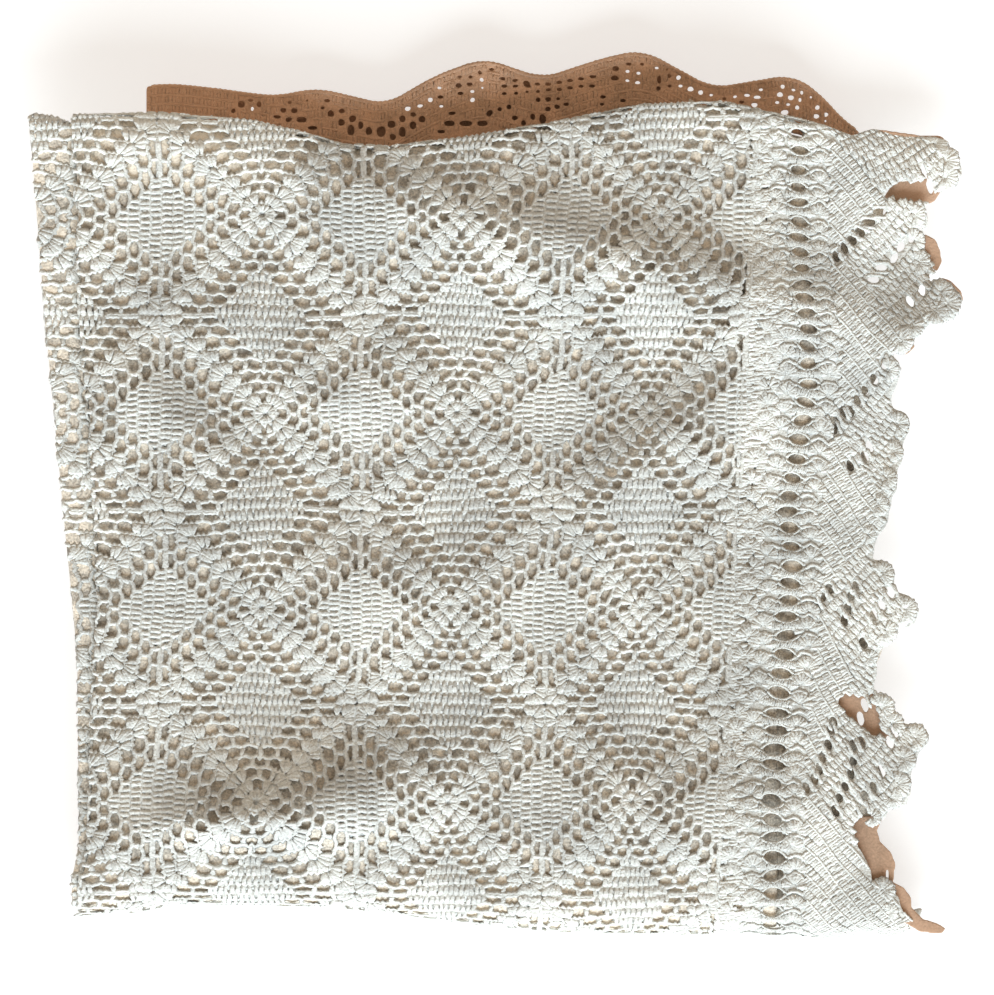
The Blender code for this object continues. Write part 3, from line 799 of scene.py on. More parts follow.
def inOvals(ovals, x, y, grow=0.0):
    # ovals: middle, half sizes, lean in degrees
    inside = np.zeros(x.shape, bool)
    for ox, oy, wide, high, lean in ovals:
        cos, sin = math.cos(math.radians(lean)), math.sin(math.radians(lean))
        across, down = (x - ox) * cos + (y - oy) * sin, (y - oy) * cos - (x - ox) * sin
        inside |= np.hypot(across / (wide + grow), down / (high + grow)) < 1
    return inside


def eyeletLean(x, y):
    # the openings turn from upright to level along the far one of their lines
    upright, turn, startX, startY = border["eyeletLean"]
    return np.where(y > startY, np.clip(upright + turn * (x - startX), upright, 0), upright)


eyeletOvals = [(x, y, *border["eyelet"], float(eyeletLean(x, y))) for x, y in eyelets]


def keepBorder(path):
    x, y = path[..., 0], path[..., 1]
    keep = inTop(path) & ~inOvals(gapsThrough, x[:, 1:4], y[:, 1:4]).any(-1)
    keep &= insideOf(borderOutline, x, y).all(-1)
    for hollow in borderHollows:
        keep &= ~insideOf(hollow, x[:, 2], y[:, 2])
    return keep & ~inOvals(eyeletOvals, x[:, 1:4], y[:, 1:4], 0.2).any(-1)


def ropeAlong(heap, points, radius, lay, keep, lift=0.45, stitch=3.05):
    # a rope of chain stitches through flat points, cut where it leaves the kept part
    points = np.array(points, float)
    lengths = np.concatenate([[0], np.cumsum(np.hypot(*np.diff(points, axis=0).T))])
    count = int(lengths[-1] / (stitch / 2)) + 1
    if count < 4:
        return
    at = np.linspace(0, lengths[-1], count)
    x, y = np.interp(at, lengths, points[:, 0]), np.interp(at, lengths, points[:, 1])
    beat = np.where(np.arange(count) % 2 == 0, 1.1, 0.85) * rng.uniform(0.93, 1.07, count)
    h = lift + rng.normal(0, 0.06, count)
    ok = keep(np.repeat(np.stack([x, y, h], -1)[:, None], 5, 1))
    start = None
    for k in range(count + 1):
        if k < count and ok[k]:
            start = k if start is None else start
            continue
        if start is not None and k - start >= 4:
            path = np.stack([x[start:k], y[start:k], h[start:k]], -1)[None]
            wide = (radius * beat[start:k])[None, 1:-1]
            heap.tubes(path, wide, wide * 0.62, lay)
        start = None


def posts(heap, base, top, width, lay, keep=None, lift=0.0, form=0, bow=0.0, relief=0.85):
    n = len(base)
    jit = rng.normal(0, 0.16, (n, 4))
    path = postPath(base + jit[:, :2], top + jit[:, 2:], -0.5, 0.3)
    path[:, 1:4, :2] += bowed(base, top, bow + rng.normal(0, 0.15, n))
    path[..., 2] += lift + rng.normal(0, 0.12, (n, 1))
    wide = width * np.array(stitchForms[form][0]) * rng.uniform(0.9, 1.1, (n, 1))
    high = relief * np.array(stitchForms[form][1]) * rng.uniform(0.88, 1.12, (n, 1))
    heap.tubes(path, wide, high, lay, keep=None if keep is None else keep(path))


# shells: half their spread in degrees, how far a layer is turned, where its stitches start (a length
# and a share of the radius), its reach and unevenness, and for each layer how many stitches, how high
# they lie and how much shorter they are
columnShell = dict(spread=86, turn=5, foot=(0.9, 0), reach=1.02, flat=0.1, uneven=(0.94, 1.04), width=1.2,
                   layers=((7, -0.35, 0), (10, 0.2, 0)))
rimShell = dict(spread=96, turn=6, foot=(0, 0.1), reach=1.03, flat=0, uneven=(0.95, 1.03), width=1.25,
                layers=((9, -0.2, 0), (12, 0.55, 0.05)))


def shell(heap, x, y, way, radius, form, keep=None):
    # stitches side by side from one knot, thin ones over a few low ones
    spread, turn = form["spread"], form["turn"]
    for count, lift, shorter in form["layers"]:
        angles = np.radians(way + (np.linspace(-spread, spread, count) + rng.uniform(-turn, turn)))
        out = np.stack([np.cos(angles), np.sin(angles)], -1)
        reach = radius * (form["reach"] - shorter - form["flat"] * np.abs(np.cos(angles)))
        reach = reach * rng.uniform(*form["uneven"], count)
        foot = form["foot"][0] + form["foot"][1] * radius
        width = form["width"] * radius * math.radians(2 * spread) / count / 2
        posts(heap, (x, y) + foot * out, (x, y) + reach[:, None] * out, width, layBorder, keep, lift,
              form=5, relief=0.65)


def lensSizes():
    # the openings of the column: middle, half sizes and slant, each a little different
    table, found = np.array(border["lensHalf"]).T, []
    for y in border["cells"]:
        wide, high = [float(np.interp(y, table[0], sizes)) for sizes in table[1:]]
        found.append((float(columnX(y)) + rng.normal(0, 0.5), y, wide * rng.uniform(0.85, 1.1),
                      high * rng.uniform(0.82, 1.1), rng.normal(-0.08, 0.1)))
    return found


lenses = lensSizes()
slitY = rng.uniform(-262, 250, border["slits"])
slitX = columnX(slitY) + rng.uniform(*border["slitReach"], border["slits"])
slitSize = rng.uniform(0.7, 1.3, border["slits"])
slitOvals = [(x, y, border["slitHalf"][0] * size, border["slitHalf"][1] * size, 0)
             for x, y, size in zip(slitX, slitY, slitSize)]


def outOfSlits(path):
    return inTop(path) & ~inOvals(slitOvals, path[:, 2, 0], path[:, 2, 1])


def lensBar(heap, upper, lower):
    # short stitches side by side close the cord between two openings of the column
    share = np.linspace(-border["barReach"], border["barReach"], border["barStitches"])
    curve = np.clip(1 - share * share, 0, 1) ** 0.6
    edges = []
    for (x, y, wide, high, tilt), side in ((upper, -1), (lower, 1)):
        edges.append(np.stack([x + wide * share, y + side * high * curve + tilt * wide * share], -1))
    reach = edges[0] - edges[1]
    shortest, longest = border["barLength"]
    length = np.maximum(np.abs(reach[:, 1]), shortest)
    short = np.minimum(length, longest)[:, None] / length[:, None]
    middle = (edges[0] + edges[1]) / 2
    half = np.stack([reach[:, 0] / 2 + rng.normal(0, 0.3, len(share)), length / 2 + 0.35], -1) * short
    posts(heap, middle - half, middle + half, border["barWidth"], layBorder, inTop, lift=0.35, form=4,
          relief=0.9)
    for side, edge in zip((-1, 1), edges):
        ropeAlong(heap, edge + (0, 0.25 * side), border["lensRope"], layBorder, inTop, lift=0.45, stitch=2.6)


def columnCells(heap):
    # the column's shells and cords, and the narrow band to the squares
    cells, places = border["cells"], border["shellPlaces"]
    pitch, bandWidth = border["bandStitch"]
    for k, (x, y, wide, *_) in enumerate(lenses):
        gap = (y - cells[k + 1]) if k + 1 < len(cells) else border["lastGap"]
        room = min(gap, border["shellHeight"])
        for dx, dy in places:
            middle = (x + dx + rng.normal(0, 0.6), y + dy + rng.normal(0, 0.6))
            radius = rng.uniform(*border["shellShare"]) * room
            shell(heap, *middle, 90 + rng.normal(0, border["shellTurn"]), radius, columnShell, inTop)
            side = 1 if dx > 0 else -1
            over = [(side * (place + wide - border["overShell"][0][0]), rise + rng.normal(0, 0.4))
                    for place, rise in border["overShell"]]
            ropeAlong(heap, np.array(over) + (x, y), 1.5 * border["lensRope"], layBorder, inTop, lift=0.3)
        if k + 1 < len(lenses):
            lensBar(heap, lenses[k], lenses[k + 1])
        seam = float(seamPlace(0, y)) - border["bandOverlap"]
        thirdX, thirdY = x + border["thirdShell"][0], y + border["thirdShell"][1]
        if thirdX > seam + 2:
            middle = (thirdX + rng.normal(0, 0.8), thirdY + rng.normal(0, 0.8))
            radius = rng.uniform(*border["thirdShare"]) * room
            shell(heap, *middle, 90 + rng.normal(0, border["thirdTurn"]), radius, columnShell, outOfSlits)
        bandEnd = x + places[0][0] - border["bandGap"]
        count = max(1, int(round((bandEnd - seam) / border["bandRow"])))
        step = (bandEnd - seam) / count
        at = np.arange(y - 0.5 * gap, y + 0.5 * gap, pitch)
        for part in range(count):
            low = seam + (bandEnd - seam) * part / count + rng.normal(0, 0.7, len(at))
            base = np.stack([low, at + 0.8 * part], -1)
            posts(heap, base, base + (step + 2.4, 0.8), bandWidth, layBorder, outOfSlits,
                  0.1 * (part % 2) - 0.1, form=4, bow=-1.1, relief=0.42)
        cord = [(seam - 0.2, y - 0.5 * gap), (seam + 0.3, y), (seam - 0.2, y + 0.5 * gap)]
        ropeAlong(heap, cord, 1.3, layBorder, inTop, lift=0.35)


def sideOf(line, x, y):
    (ax, ay), (bx, by) = line
    return (bx - ax) * (y - ay) - (by - ay) * (x - ax)


def slantFrom(start, slant):
    angle = math.radians(slant)
    return start, (start[0] + 50 * math.cos(angle), start[1] - 50 * math.sin(angle))


def rowsBetween(heap, upper, lower, origin, slant, beat, relief):
    # rows of stitches that run down and out between two lines, from the column to the outer edge
    slant = math.radians(slant)
    run = np.array([math.cos(slant), -math.sin(slant)])
    out = np.array([math.sin(slant), math.cos(slant)])
    pitch, stitch = border["rowPitch"], border["stitch"]
    width = border["postWidth"] * (1.2 if beat is None else 1)

    def keep(path):
        x, y = path[:, 2, 0], path[:, 2, 1]
        kept = keepBorder(path) & (x > columnX(y) + border["rowStart"])
        return kept & (sideOf(upper, x, y) < 0) & (sideOf(lower, x, y) > 0)

    rows, reach = border["rowCount"], border["rowReach"]
    for i in range(-rows, rows + 1):
        base = np.array(origin) + out * pitch * i
        d = np.arange(-reach, reach, stitch / 2) + rng.uniform(0, stitch)
        wave = 0.55 * np.sin(d / 11 + i * 1.3) + 0.35 * np.sin(d / 5.3 + i)
        start = base + run * d[:, None] + out * wave[:, None]
        for strand in (0, 1):
            foot = start[strand::2] + run * 0.12 * (1 - 2 * strand)
            posts(heap, foot - 0.8 * out, foot + out * (pitch + 0.8), width, layBorder, keep,
                  0.15 * strand, form=4, bow=1.4, relief=relief)
        bright = beat is not None and (i + beat) % 2 == 0
        ropeAlong(heap, start, border["ropeWidth"] * (1.0 if bright else 1.3), layBorder, keep,
                  lift=0.55 if bright else -0.8)


rowCorners = [border["topCorner"]] + [inner for inner, _ in border["valleys"]]
rowZones = [(slantFrom(corner, slant), valley)
            for corner, slant, valley in zip(rowCorners, border["slants"], border["valleys"])]


def makeBorder():
    column, heap = YarnHeap(), YarnHeap()
    columnCells(column)
    for k, (upper, lower) in enumerate(rowZones):
        rowsBetween(heap, upper, lower, lower[0], border["slants"][k], k, border["innerRelief"])
    above = (border["farLine"], *border["valleys"])
    zones = zip(above, rowZones, border["outerSlants"], border["outerRelief"])
    for upper, (lower, _), slant, relief in zones:
        rowsBetween(heap, upper, lower, lower[0], slant, None, relief)
    middles = np.array(eyelets)
    leans = np.radians(eyeletLean(*middles.T))
    longer, wider, stitch = border["eyeletRim"]
    run = np.stack([np.cos(leans), np.sin(leans)], -1) * (border["eyelet"][0] + longer)
    off = np.stack([-np.sin(leans), np.cos(leans)], -1) * (border["eyelet"][1] + wider)
    for side in (-1, 1):
        beside = middles + side * off
        posts(heap, beside - run, beside + run, stitch, layBorder, inTop, lift=0.1)
    for x, y, way, radius in edgeShells:
        shell(heap, x, y, way, radius, rimShell)
    return [column.piece("borderColumn", yarnMaterial), heap.piece("borderRows", yarnMaterial)]


def borderClosed(x, y):
    # where the border is closed: not in its openings, not past its outline
    closed = insideOf(borderOutline, x, y) & inTop(np.stack([x, y, 0 * x], -1)[..., None, :])
    closed &= x > seamPlace(0, y) - 3.5
    for lensX, lensY, wide, high, tilt in lenses:
        share = np.clip(1 - ((x - lensX) / wide) ** 2, 0, 1)
        closed &= np.abs(y - lensY - tilt * (x - lensX)) > high * share ** 0.8
    for hollow in borderHollows:
        closed &= ~insideOf(hollow, x, y)
    closed &= ~inOvals(slitOvals, x, y) & ~inOvals(eyeletOvals, x, y)
    return closed & ~inOvals(gapsThrough, x, y, -0.3)


borderPieces = makeBorder()
backingPiece = gridSheet("borderBacking", yarnMaterial, (132, 284, -312, 266), 1.7, borderClosed, layBorder,
                         border["backing"])
print("border worked")

# Free end: past the far fold the second ply sticks out, with a lower one under it; both lie in the stack's
# shadow and are painted brown as painted shade, the lower one darker.
endBorder = dict(
    # painted shade: brown colours for the shaded upper ply and the darker lower one
    upperPaintedShade=dict(colour=(0.70, 0.465, 0.315), bump=0.7, mottle=0.18, patchScale=90),
    lowerPaintedShade=dict(colour=(0.50, 0.32, 0.21), bump=0.5, mottle=0.18, patchScale=90),
    rowPitch=5.4,
    rows=7,
    stitch=2.1,
    postWidth=1.25,
    ropeWidth=1.0,
    levels=(7.5, 5.6),  # of the upper and the lower ply, in plies over the surface
    lowerInset=2.0,
    cell=1.1,
    sheet=0.9,
    span=(-211, 219),
    under=9,            # how far it goes on under the far fold
)
# openings through both plies: x, y, half sizes
endOpenings = (
    (-147.4, 233.6, 1, 1.8), (-34.5, 245.9, 1.6, 0.9), (-8.9, 251, 1.1, 1), (-8.4, 245.9, 1.2, 0.9),
    (-14.4, 244, 1.8, 0.8), (-14.4, 239, 1.6, 1), (-40, 238.8, 1.7, 1.3), (-46.2, 235.6, 2.1, 0.9),
    (-53.4, 233.6, 2.2, 0.9), (-33.1, 235.3, 1.3, 0.8), (78.7, 256.1, 1.5, 1), (85.7, 255, 1.7, 1),
    (78.7, 250.4, 1.6, 0.9), (85, 249.3, 1.5, 1), (96.5, 258, 1.3, 0.9), (109.4, 252.5, 1.3, 1.3),
    (110.9, 247.2, 1.7, 0.9), (116.9, 245.4, 1.9, 1.1), (123.2, 243.5, 1.6, 1.3), (129.1, 242, 1.5, 0.7),
    (143.7, 241.1, 1.6, 0.8), (151, 241.6, 1.8, 0.9), (157, 240.5, 2, 1.1), (155.5, 235.9, 2, 1.1),
    (159.5, 245, 1.4, 0.8), (172.6, 247, 1.1, 1.3), (170.6, 242.1, 1.8, 1.2), (169.2, 237.4, 1.8, 0.9),
    (173.7, 231.5, 2.2, 1.5), (177.4, 240.5, 1.6, 1.2), (176, 236.2, 1.3, 0.8), (179.1, 244.8, 1.3, 0.8),
    (184, 243.6, 1.1, 1.1), (182.8, 239.1, 1.2, 1.1), (181.6, 234.2, 1.3, 1.3), (189.5, 240.6, 1.4, 0.8),
    (193.6, 234.2, 1.3, 1.4), (192.8, 229.2, 1.7, 1.3), (198.8, 230.4, 1.3, 1.2), (198.5, 226, 1, 0.8),
)
# openings of the upper ply alone
endHollows = (
    (-153.7, 236.3, 1.8, 2.2), (-158.2, 232.1, 1.4, 1.3), (-148.2, 238.7, 1.5, 0.7),
    (-142.9, 236.3, 1.2, 1.8), (-128.4, 232.7, 1.8, 1.2), (-121.8, 232.3, 2.2, 1.5),
    (-132.1, 228.7, 2.2, 1), (-125.5, 227.2, 2, 1.3), (-117.5, 227, 3.2, 1.4), (-111, 221.9, 3, 0.9),
    (-124.7, 237.3, 1.5, 0.7), (-114.1, 239, 1.3, 0.8), (-101.9, 238.5, 1.6, 0.8),
    (-104.8, 234.2, 1.5, 1.2), (-99.7, 230.5, 1.9, 1.9), (-93.2, 232.2, 2.4, 1.2), (-86.8, 227.7, 2, 2),
    (-93.6, 225.3, 2, 2.2), (-87.7, 220.6, 1.9, 3), (-82, 223.4, 1.5, 2.3), (-76.9, 220.2, 1.6, 2.6),
    (-69.3, 220.2, 2.6, 3.1), (-63.3, 224.3, 2.5, 1.9), (-56.5, 219.4, 2, 3.1), (-62.5, 216.6, 2.2, 1.6),
    (-56.5, 227.6, 1.9, 1.7), (-50.4, 223.7, 1.6, 2.2), (-44.8, 227.2, 1.7, 1.8), (-50, 230.2, 1.8, 1),
    (-28.3, 224.9, 3.3, 1.5), (-18.4, 224.9, 3.8, 1.7), (-8.7, 224.9, 3.3, 1.7), (-26.9, 231, 2.2, 0.9),
    (-33.7, 219.8, 2.6, 0.9), (-4.7, 230.5, 1.4, 1.4), (-33.9, 240.8, 1.9, 0.9), (-22.3, 252.7, 1.7, 0.9),
    (-15.9, 252.7, 1.6, 0.8), (-9.8, 255.5, 1.5, 0.9), (-3, 257.5, 1.9, 0.7), (-22.7, 247.6, 2.2, 1.1),
    (-15.9, 248.6, 2, 1.1), (-21.8, 243.1, 2, 0.8), (10.9, 227.9, 1.9, 1.5), (16.3, 225.1, 1.4, 1.7),
    (22, 228.8, 1.4, 2), (27.7, 227.4, 1.9, 2.6), (72, 257.5, 2.2, 1.5), (71.1, 251.8, 2.2, 1.4),
    (87.6, 260.4, 1.6, 0.8), (79.7, 260.7, 2, 0.7), (75.7, 238.5, 2, 1.1), (64.3, 240.8, 2.2, 0.8),
    (63.7, 236.2, 1.8, 0.8), (98.1, 251, 1.3, 2.2), (97.3, 245.7, 1.3, 1.7), (102.5, 257.5, 1.2, 1),
    (104.4, 247.3, 1.6, 0.9), (104.1, 253.4, 1.2, 1.2), (137.1, 239.6, 1.8, 1.2),
    (147.9, 237.9, 1.9, 0.8),
)
# rows of equal openings of the upper ply: first and last place, how many, half sizes
endHollowRows = (
    (4, 252, 25, 248.5, 4, 2, 0.9), (31, 248.3, 58, 253, 5, 2, 0.9), (4.6, 247, 18.5, 247, 3, 1.9, 0.9),
    (25, 244, 57.5, 247.5, 6, 1.9, 0.8), (5, 242.5, 18.5, 243.5, 3, 1.8, 0.8),
    (25, 238.8, 37, 239.6, 3, 1.8, 1.2), (31, 233.4, 42, 236.2, 3, 1.8, 1),
    (-3.9, 232, 7.5, 234.7, 3, 1.5, 1.1),
)


def endHoles():
    found = list(endHollows)
    for x0, y0, x1, y1, count, wide, high in endHollowRows:
        found += [(x0 + (x1 - x0) * k / (count - 1), y0 + (y1 - y0) * k / (count - 1), wide, high)
                  for k in range(count)]
    return found


def inHoles(holes, x, y, grow=0.0):
    inside = np.zeros(x.shape, bool)
    for hx, hy, wide, high in holes:
        inside |= (np.abs(x - hx) / (wide + grow)) ** 2.5 + (np.abs(y - hy) / (high + grow)) ** 2.5 < 1
    return inside


def layLevel(level):
    # lays flat places at one height, in plies over the surface
    def lay(t, s, h):
        z = sunkHeight(level * fold["pitch"] + h, t) - halfPitch + surface
        return np.stack([t, s, z], -1)
    return lay


layEnd, layEndLower = [layLevel(level) for level in endBorder["levels"]]


def inEnd(x, y, inset=0.0):
    low, high = endBorder["span"]
    inside = (y > along("farEdge", x) - endBorder["under"]) & (y < smoothAlong("freeEnd", x) + 0.6 - inset)
    return inside & (x > low) & (x < high)


def makeEnd():
    size, holes = endBorder, endHoles() + list(endOpenings)
    upper = cottonMaterial("shadedYarn", size["upperPaintedShade"])
    lower = cottonMaterial("lowerPaintedShade", size["lowerPaintedShade"])

    def keep(path):
        x, y = path[..., 0], path[..., 1]
        return inEnd(x, y, -0.6).all(-1) & ~inHoles(holes, x[:, 1:4], y[:, 1:4], 1.0).any(-1)

    def inUpper(x, y):
        return inEnd(x, y) & ~inHoles(holes, x, y, 0.3)

    def inLower(x, y):
        return inEnd(x, y, size["lowerInset"]) & ~inHoles(endOpenings, x, y, 0.7)

    heap = YarnHeap()
    x = np.arange(size["span"][0] + 2, size["span"][1] - 1, size["stitch"])
    edge = smoothAlong("freeEnd", x)
    for row in range(size["rows"]):
        top = np.stack([x, edge - row * size["rowPitch"]], -1)
        posts(heap, top - (0, size["rowPitch"]), top, size["postWidth"], layEnd, keep, form=4, relief=0.5)
        ropeAlong(heap, top, size["ropeWidth"] * (1.3 if row == 0 else 1), layEnd, keep, lift=0.25)
    box, cell, sheet = (-212, 220, 200, 270), size["cell"], size["sheet"]
    return [
        heap.piece("endBorder", upper),
        gridSheet("endCloth", upper, box, cell, inUpper, layEnd, -0.3, sheet),
        gridSheet("endLowerCloth", lower, box, cell, inLower, layEndLower, 0.0, sheet),
    ]


# Lobes of the lower plies that show in the hollows of the border and past its rims; their brown is painted
# shade, and some stand for rims of the ply above that turn away from the light.
lowerLobes = (
    ((235, 183), (240, 190), (250, 192), (256, 196), (265, 193), (268, 185), (264, 178), (255, 174),
     (242, 173), (231, 177)),
    ((216, 216), (223, 220), (232, 220.6), (243, 219), (257, 217), (267, 217), (270, 215), (266, 210),
     (216, 210)),
    ((258, 158), (264, 155), (267, 148), (268, 141), (265, 135), (259, 140), (252, 148), (250, 152)),
    ((267, 132), (273, 130), (280, 123), (281, 117), (275, 118), (269, 124)),
    ((236, 112), (241, 107), (246, 101), (250, 96), (252, 90), (246, 85), (238, 95), (233, 105)),
    ((202, -128), (206, -118), (216, -115), (226, -118), (235, -128), (239, -140), (238, -150),
     (228, -150), (218, -143), (208, -136)),
    ((212, -192), (232.6, -193), (229, -201), (231, -208), (237.2, -213.8), (240, -221), (238.6, -232),
     (245.5, -235.8), (249.5, -241.4), (250, -247.8), (256.5, -254.2), (265.7, -257), (270.3, -260),
     (268, -263), (255, -262), (245, -256), (237, -246), (222, -240), (212, -216)),
)
lobeHoles = ((251, 193, 1.8, 3.2, 0), (235.2, -227.5, 0.7, 4, 0))


def inLobes(x, y):
    inside = np.zeros(x.shape, bool)
    for lobe in lowerLobes:
        inside |= insideOf(lobe, x, y)
    return inside & ~inOvals(gapsThrough + lobeHoles, x, y)


lobes = dict(level=13.2, cell=0.8, sheet=1.2,
             # painted shade: the lobes' brown colour
             yarn=dict(colour=(0.60, 0.42, 0.30), bump=0.3, mottle=0.2, patchScale=60))
endPieces = makeEnd()
lobeShadeMaterial = cottonMaterial("lobePaintedShade", lobes["yarn"])
lobePiece = gridSheet("lowerLobes", lobeShadeMaterial, (200, 284, -266, 224), lobes["cell"], inLobes,
                      layLevel(lobes["level"]), 0.0, lobes["sheet"])
print("free end worked")

# The rest of the cloth, under the worked ply: what is seen through its openings and at its sides.
cloth = dict(
    # the stretches from edge to edge, and into how many steps each is divided
    across=(("outer border", 8), ("outer ply", 26), ("first left fold", 6), ("second ply", 38),
            ("right fold", 6), ("third ply", 26), ("second left fold", 6), ("inner ply", 26),
            ("inner border", 8)),
    along=(("bottom", 36), ("outer near fold", 14), ("top", 64), ("far fold", 10), ("third", 34),
           ("inner near fold", 10), ("second", 38)),
    # how far in the hidden edges lie: middle place, depth and shift of their ripples
    hiddenBorder=dict(bottom=(222, 6, 5), second=(220, 8, -5), third=(222, 8, 0), top=(224, 9, -1)),
    hiddenEnd=dict(bottom=(205, 4, 30), second=(204, 4, 10)),
    thickness=1.9,
    follow=0.88,        # how closely the second ply keeps to the soft folds of the first
    lift=1.1,
    borderLift=5.6,     # how far the inner border rises under the column of openings
    borderRise=(164, 172),
    borderFall=(194, 206),
    borderFollow=0.9,
    endGap=4,           # how far before the far fold it stops under the free end
)


def ripple(base, depth, shift, place):
    return base + depth * np.cos(2 * np.pi * (place - shift) / fold["ripple"])


def middleOf(part):
    return eased(part, 0, 0.05) * eased(1 - part, 0, 0.06)


def placeAcross(leg, name, part, y, h):
    # x, and height over the bundle's middle, for a share of one stretch across the cloth
    p = fold["pitch"]
    near, far = fold["leftInset"][leg]
    inset = near + (far - near) * eased(y, *fold["leftInsetRamp"])
    outerTurn = along("outerLeft", y) + inset + halfPitch + surface
    innerTurn = along("innerLeft", y) + inset + halfPitch + surface
    seam = along("seamX", y)
    hidden = ripple(*cloth["hiddenBorder"][leg], y)
    edge = along("borderEdge", y) if leg == "top" else hidden - 3
    right = fold["rightFoldX"]
    cos, sin = np.cos(math.pi * part), np.sin(math.pi * part)
    return {
        "outer border": lambda: (edge + (seam - edge) * part, 1.5 * p + h),
        "outer ply": lambda: (seam + (outerTurn - seam) * part, 1.5 * p + h),
        "first left fold": lambda: (outerTurn - (halfPitch + h) * sin, p + (halfPitch + h) * cos),
        "second ply": lambda: (outerTurn + (right - outerTurn) * part,
                               0.5 * p - h + cloth["lift"] * middleOf(part)),
        "right fold": lambda: (right + (halfPitch - h) * sin, (halfPitch - h) * cos),
        "third ply": lambda: (right + (innerTurn - right) * part, -0.5 * p + h),
        "second left fold": lambda: (innerTurn - (halfPitch + h) * sin, (halfPitch + h) * cos - p),
        "inner ply": lambda: (innerTurn + (seam - innerTurn) * part, -1.5 * p - h),
        "inner border": lambda: (seam + (hidden - seam) * part, -1.5 * p - h),
    }[name]()


def freeEndOf(leg, name, x):
    shown = along("freeEnd", x)
    if leg == "second" and name in ("outer border", "outer ply", "first left fold"):
        return shown
    return np.minimum(ripple(*cloth["hiddenEnd"][leg], x), shown - 3)


def placeAlong(leg, name, part, x, w):
    # y and z for a share of one stretch along the cloth, w over its bundle's middle
    p = fold["pitch"]
    near, far = nearTurn(x), farTurn(x)
    cos, sin = np.cos(math.pi * part), np.sin(math.pi * part)
    if leg == "bottom":
        end = freeEndOf("bottom", name, x)
        return end + (near - end) * part, 2 * p - w
    if leg == "outer near fold":
        return near - (6 * p + w) * sin, 8 * p - (6 * p + w) * cos
    if leg == "top":
        return near + (far - near) * part, 14 * p + w
    if leg == "far fold":
        return far + (2 * p + w) * sin, 12 * p + (2 * p + w) * cos
    if leg == "third":
        return far + (near - far) * part, 10 * p - w
    if leg == "inner near fold":
        return near - (2 * p - w) * sin, 8 * p + (2 * p - w) * cos
    end = freeEndOf("second", name, x)
    return near + (end - near) * part, 6 * p + w


between = {"outer near fold": ("bottom", "top"), "far fold": ("top", "third"),
           "inner near fold": ("third", "second")}


def layCloth(acrossName, acrossPart, alongName, alongPart, h=0.0):
    first, second = between.get(alongName, (alongName, alongName))
    y = z = 0.0 * acrossPart
    for _ in range(6):
        x, w = placeAcross(first, acrossName, acrossPart, y, h)
        if second != first:
            x = x + (placeAcross(second, acrossName, acrossPart, y, h)[0] - x) * alongPart
        y, z = placeAlong(alongName, acrossName, alongPart, x, w)
    z = sunkHeight(z, x)
    if alongName == "top" and acrossName in ("outer border", "outer ply"):
        z = z + swellHeight(x, y) - ruffleDrop(x, y)
    if alongName == "top" and acrossName == "second ply":
        z = z + cloth["follow"] * middleOf(acrossPart) * swellHeight(x, y)
    if alongName == "top" and acrossName == "inner border":
        raised = eased(x, *cloth["borderRise"]) * (1 - eased(x, *cloth["borderFall"]))
        z = z + raised * (cloth["borderLift"] + cloth["borderFollow"] * swellHeight(x, y))
    return np.stack(np.broadcast_arrays(x, y, z - halfPitch + surface), -1)


def stretchSteps(stretches):
    # every line of points across or along: its stretch, and its share of it
    found = []
    for name, steps in stretches:
        found += [(name, k / steps) for k in range(1 if found else 0, steps + 1)]
    return found


def underCloth(material):
    columns, rows = stretchSteps(cloth["across"]), stretchSteps(cloth["along"])
    worked = ("outer border", "outer ply", "first left fold")
    shown = ("outer near fold", "top", "far fold")
    middle = np.zeros((len(columns), len(rows), 3))
    outward = np.zeros_like(middle)
    for i, (acrossName, a) in enumerate(columns):
        for name, _ in cloth["along"]:
            picked = [j for j, row in enumerate(rows) if row[0] == name]
            b = np.array([rows[j][1] for j in picked])
            low, high = [layCloth(acrossName, np.full(len(b), a), name, b, h) for h in (-0.5, 0.5)]
            middle[i, picked] = (low + high) / 2
            outward[i, picked] = high - low
    half = cloth["thickness"] / 2
    sides = np.stack([middle + half * outward, middle - half * outward])
    kept = np.ones((len(columns) - 1, len(rows) - 1), bool)
    for i in range(len(columns) - 1):
        for j in range(len(rows) - 1):
            kept[i, j] = columns[i + 1][0] not in worked or rows[j + 1][0] not in shown
            onEnd = rows[j + 1][0] == "second" and columns[i + 1][0] in worked
            if onEnd and middle[i, j + 1, 1] > along("farEdge", middle[i, j, 0]) - cloth["endGap"]:
                kept[i, j] = False
    return closedSheet("foldedCloth", sides, kept, material)


# its tan colour is painted shade
groundPiece = underCloth(cottonMaterial("crochetGroundPaintedShade", groundYarnPaintedShade))
print("cloth under the worked ply laid")

# The camera looks straight down on the folded cloth.
view = dict(scale=0.6, framePixels=994, planeZ=50, distance=6.0, centreX=0.3, centreY=-0.6)


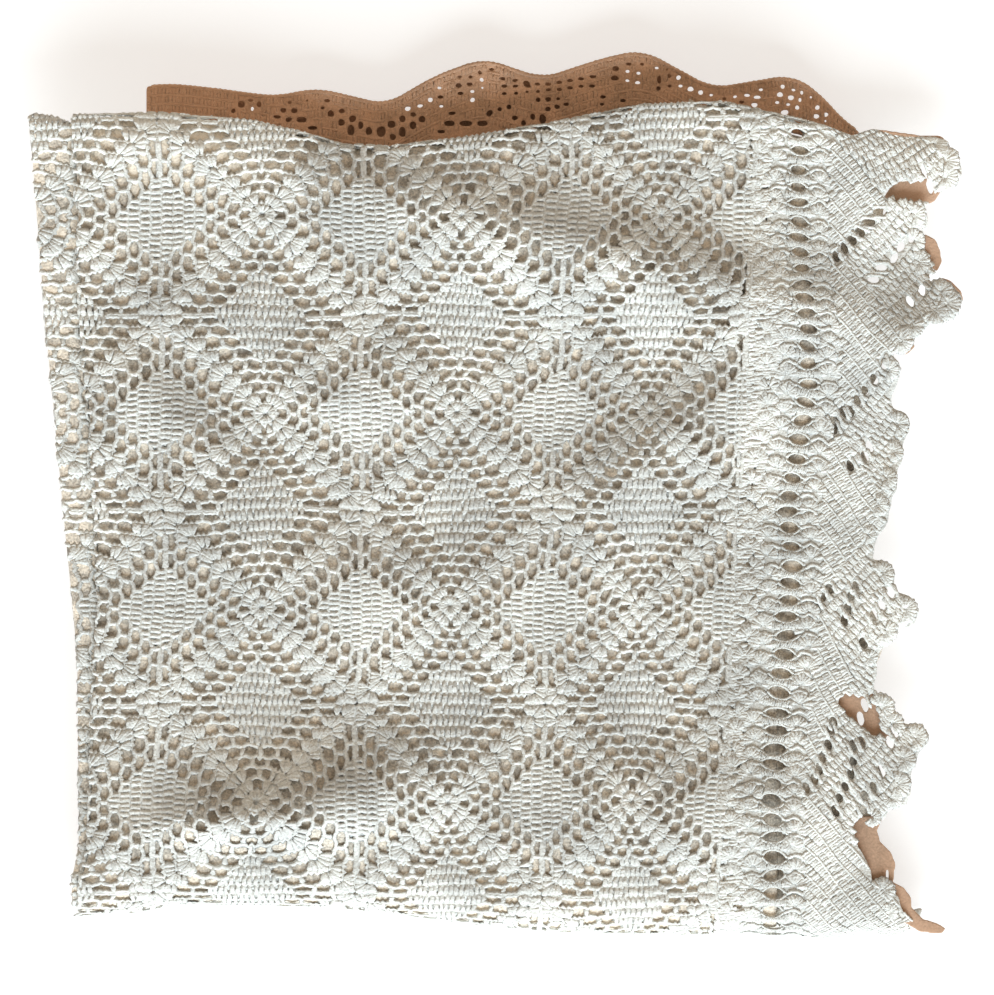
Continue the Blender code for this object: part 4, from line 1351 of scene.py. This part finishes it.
def makeCamera():
    camera = bpy.data.cameras.new("camera")
    camera.sensor_fit = "HORIZONTAL"
    camera.lens = camera.sensor_width * view["distance"] / (view["framePixels"] * view["scale"] * mm)
    camera.clip_end = 50
    holder = bpy.data.objects.new("camera", camera)
    holder.location = (view["centreX"] * mm, view["centreY"] * mm, view["planeZ"] * mm + view["distance"])
    bpy.context.scene.collection.objects.link(holder)
    bpy.context.scene.camera = holder


light = dict(
    keyPower=4.75, keyColour=(0.82, 0.93, 1.0), keyElevation=29, keyTurn=4, keyAngle=48,
    fillColour=(0.98, 0.79, 0.60), fillStrength=0.52,
)


def makeLight():
    sun = bpy.data.lights.new("key", "SUN")
    sun.energy = light["keyPower"]
    sun.color = light["keyColour"]
    sun.angle = math.radians(light["keyAngle"])
    holder = bpy.data.objects.new("key", sun)
    holder.rotation_euler = (math.radians(90 - light["keyElevation"]), 0, math.radians(light["keyTurn"]))
    bpy.context.scene.collection.objects.link(holder)
    world = bpy.data.worlds.new("room")
    world.use_nodes = True
    background = world.node_tree.nodes["Background"]
    background.inputs["Color"].default_value = (*light["fillColour"], 1)
    background.inputs["Strength"].default_value = light["fillStrength"]
    bpy.context.scene.world = world
    bpy.context.scene.view_settings.view_transform = "Standard"


floor = dict(size=4.0, colour=(0.5, 0.5, 0.5), glow=0.62)


def makeFloor():
    mesh = bpy.data.meshes.new("floor")
    half = floor["size"] / 2
    corners = [(-half, -half, 0), (half, -half, 0), (half, half, 0), (-half, half, 0)]
    mesh.from_pydata(corners, [], [(0, 1, 2, 3)])
    obj = bpy.data.objects.new("floor", mesh)
    obj.location.z = -0.0005
    bpy.context.scene.collection.objects.link(obj)
    material = bpy.data.materials.new("paleFloor")
    material.use_nodes = True
    shader = material.node_tree.nodes["Principled BSDF"]
    shader.inputs["Base Color"].default_value = (*floor["colour"], 1)
    shader.inputs["Roughness"].default_value = 0.9
    shader.inputs["Specular IOR Level"].default_value = 0
    shader.inputs["Emission Color"].default_value = (1, 1, 1, 1)
    shader.inputs["Emission Strength"].default_value = floor["glow"]
    mesh.materials.append(material)


makeCamera()
makeLight()
makeFloor()
print("camera, light and floor placed")

pieces = squarePieces + borderPieces + endPieces + [stripPiece, backingPiece, lobePiece]
for piece in [groundPiece] + pieces:
    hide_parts("crochet_bedspread")
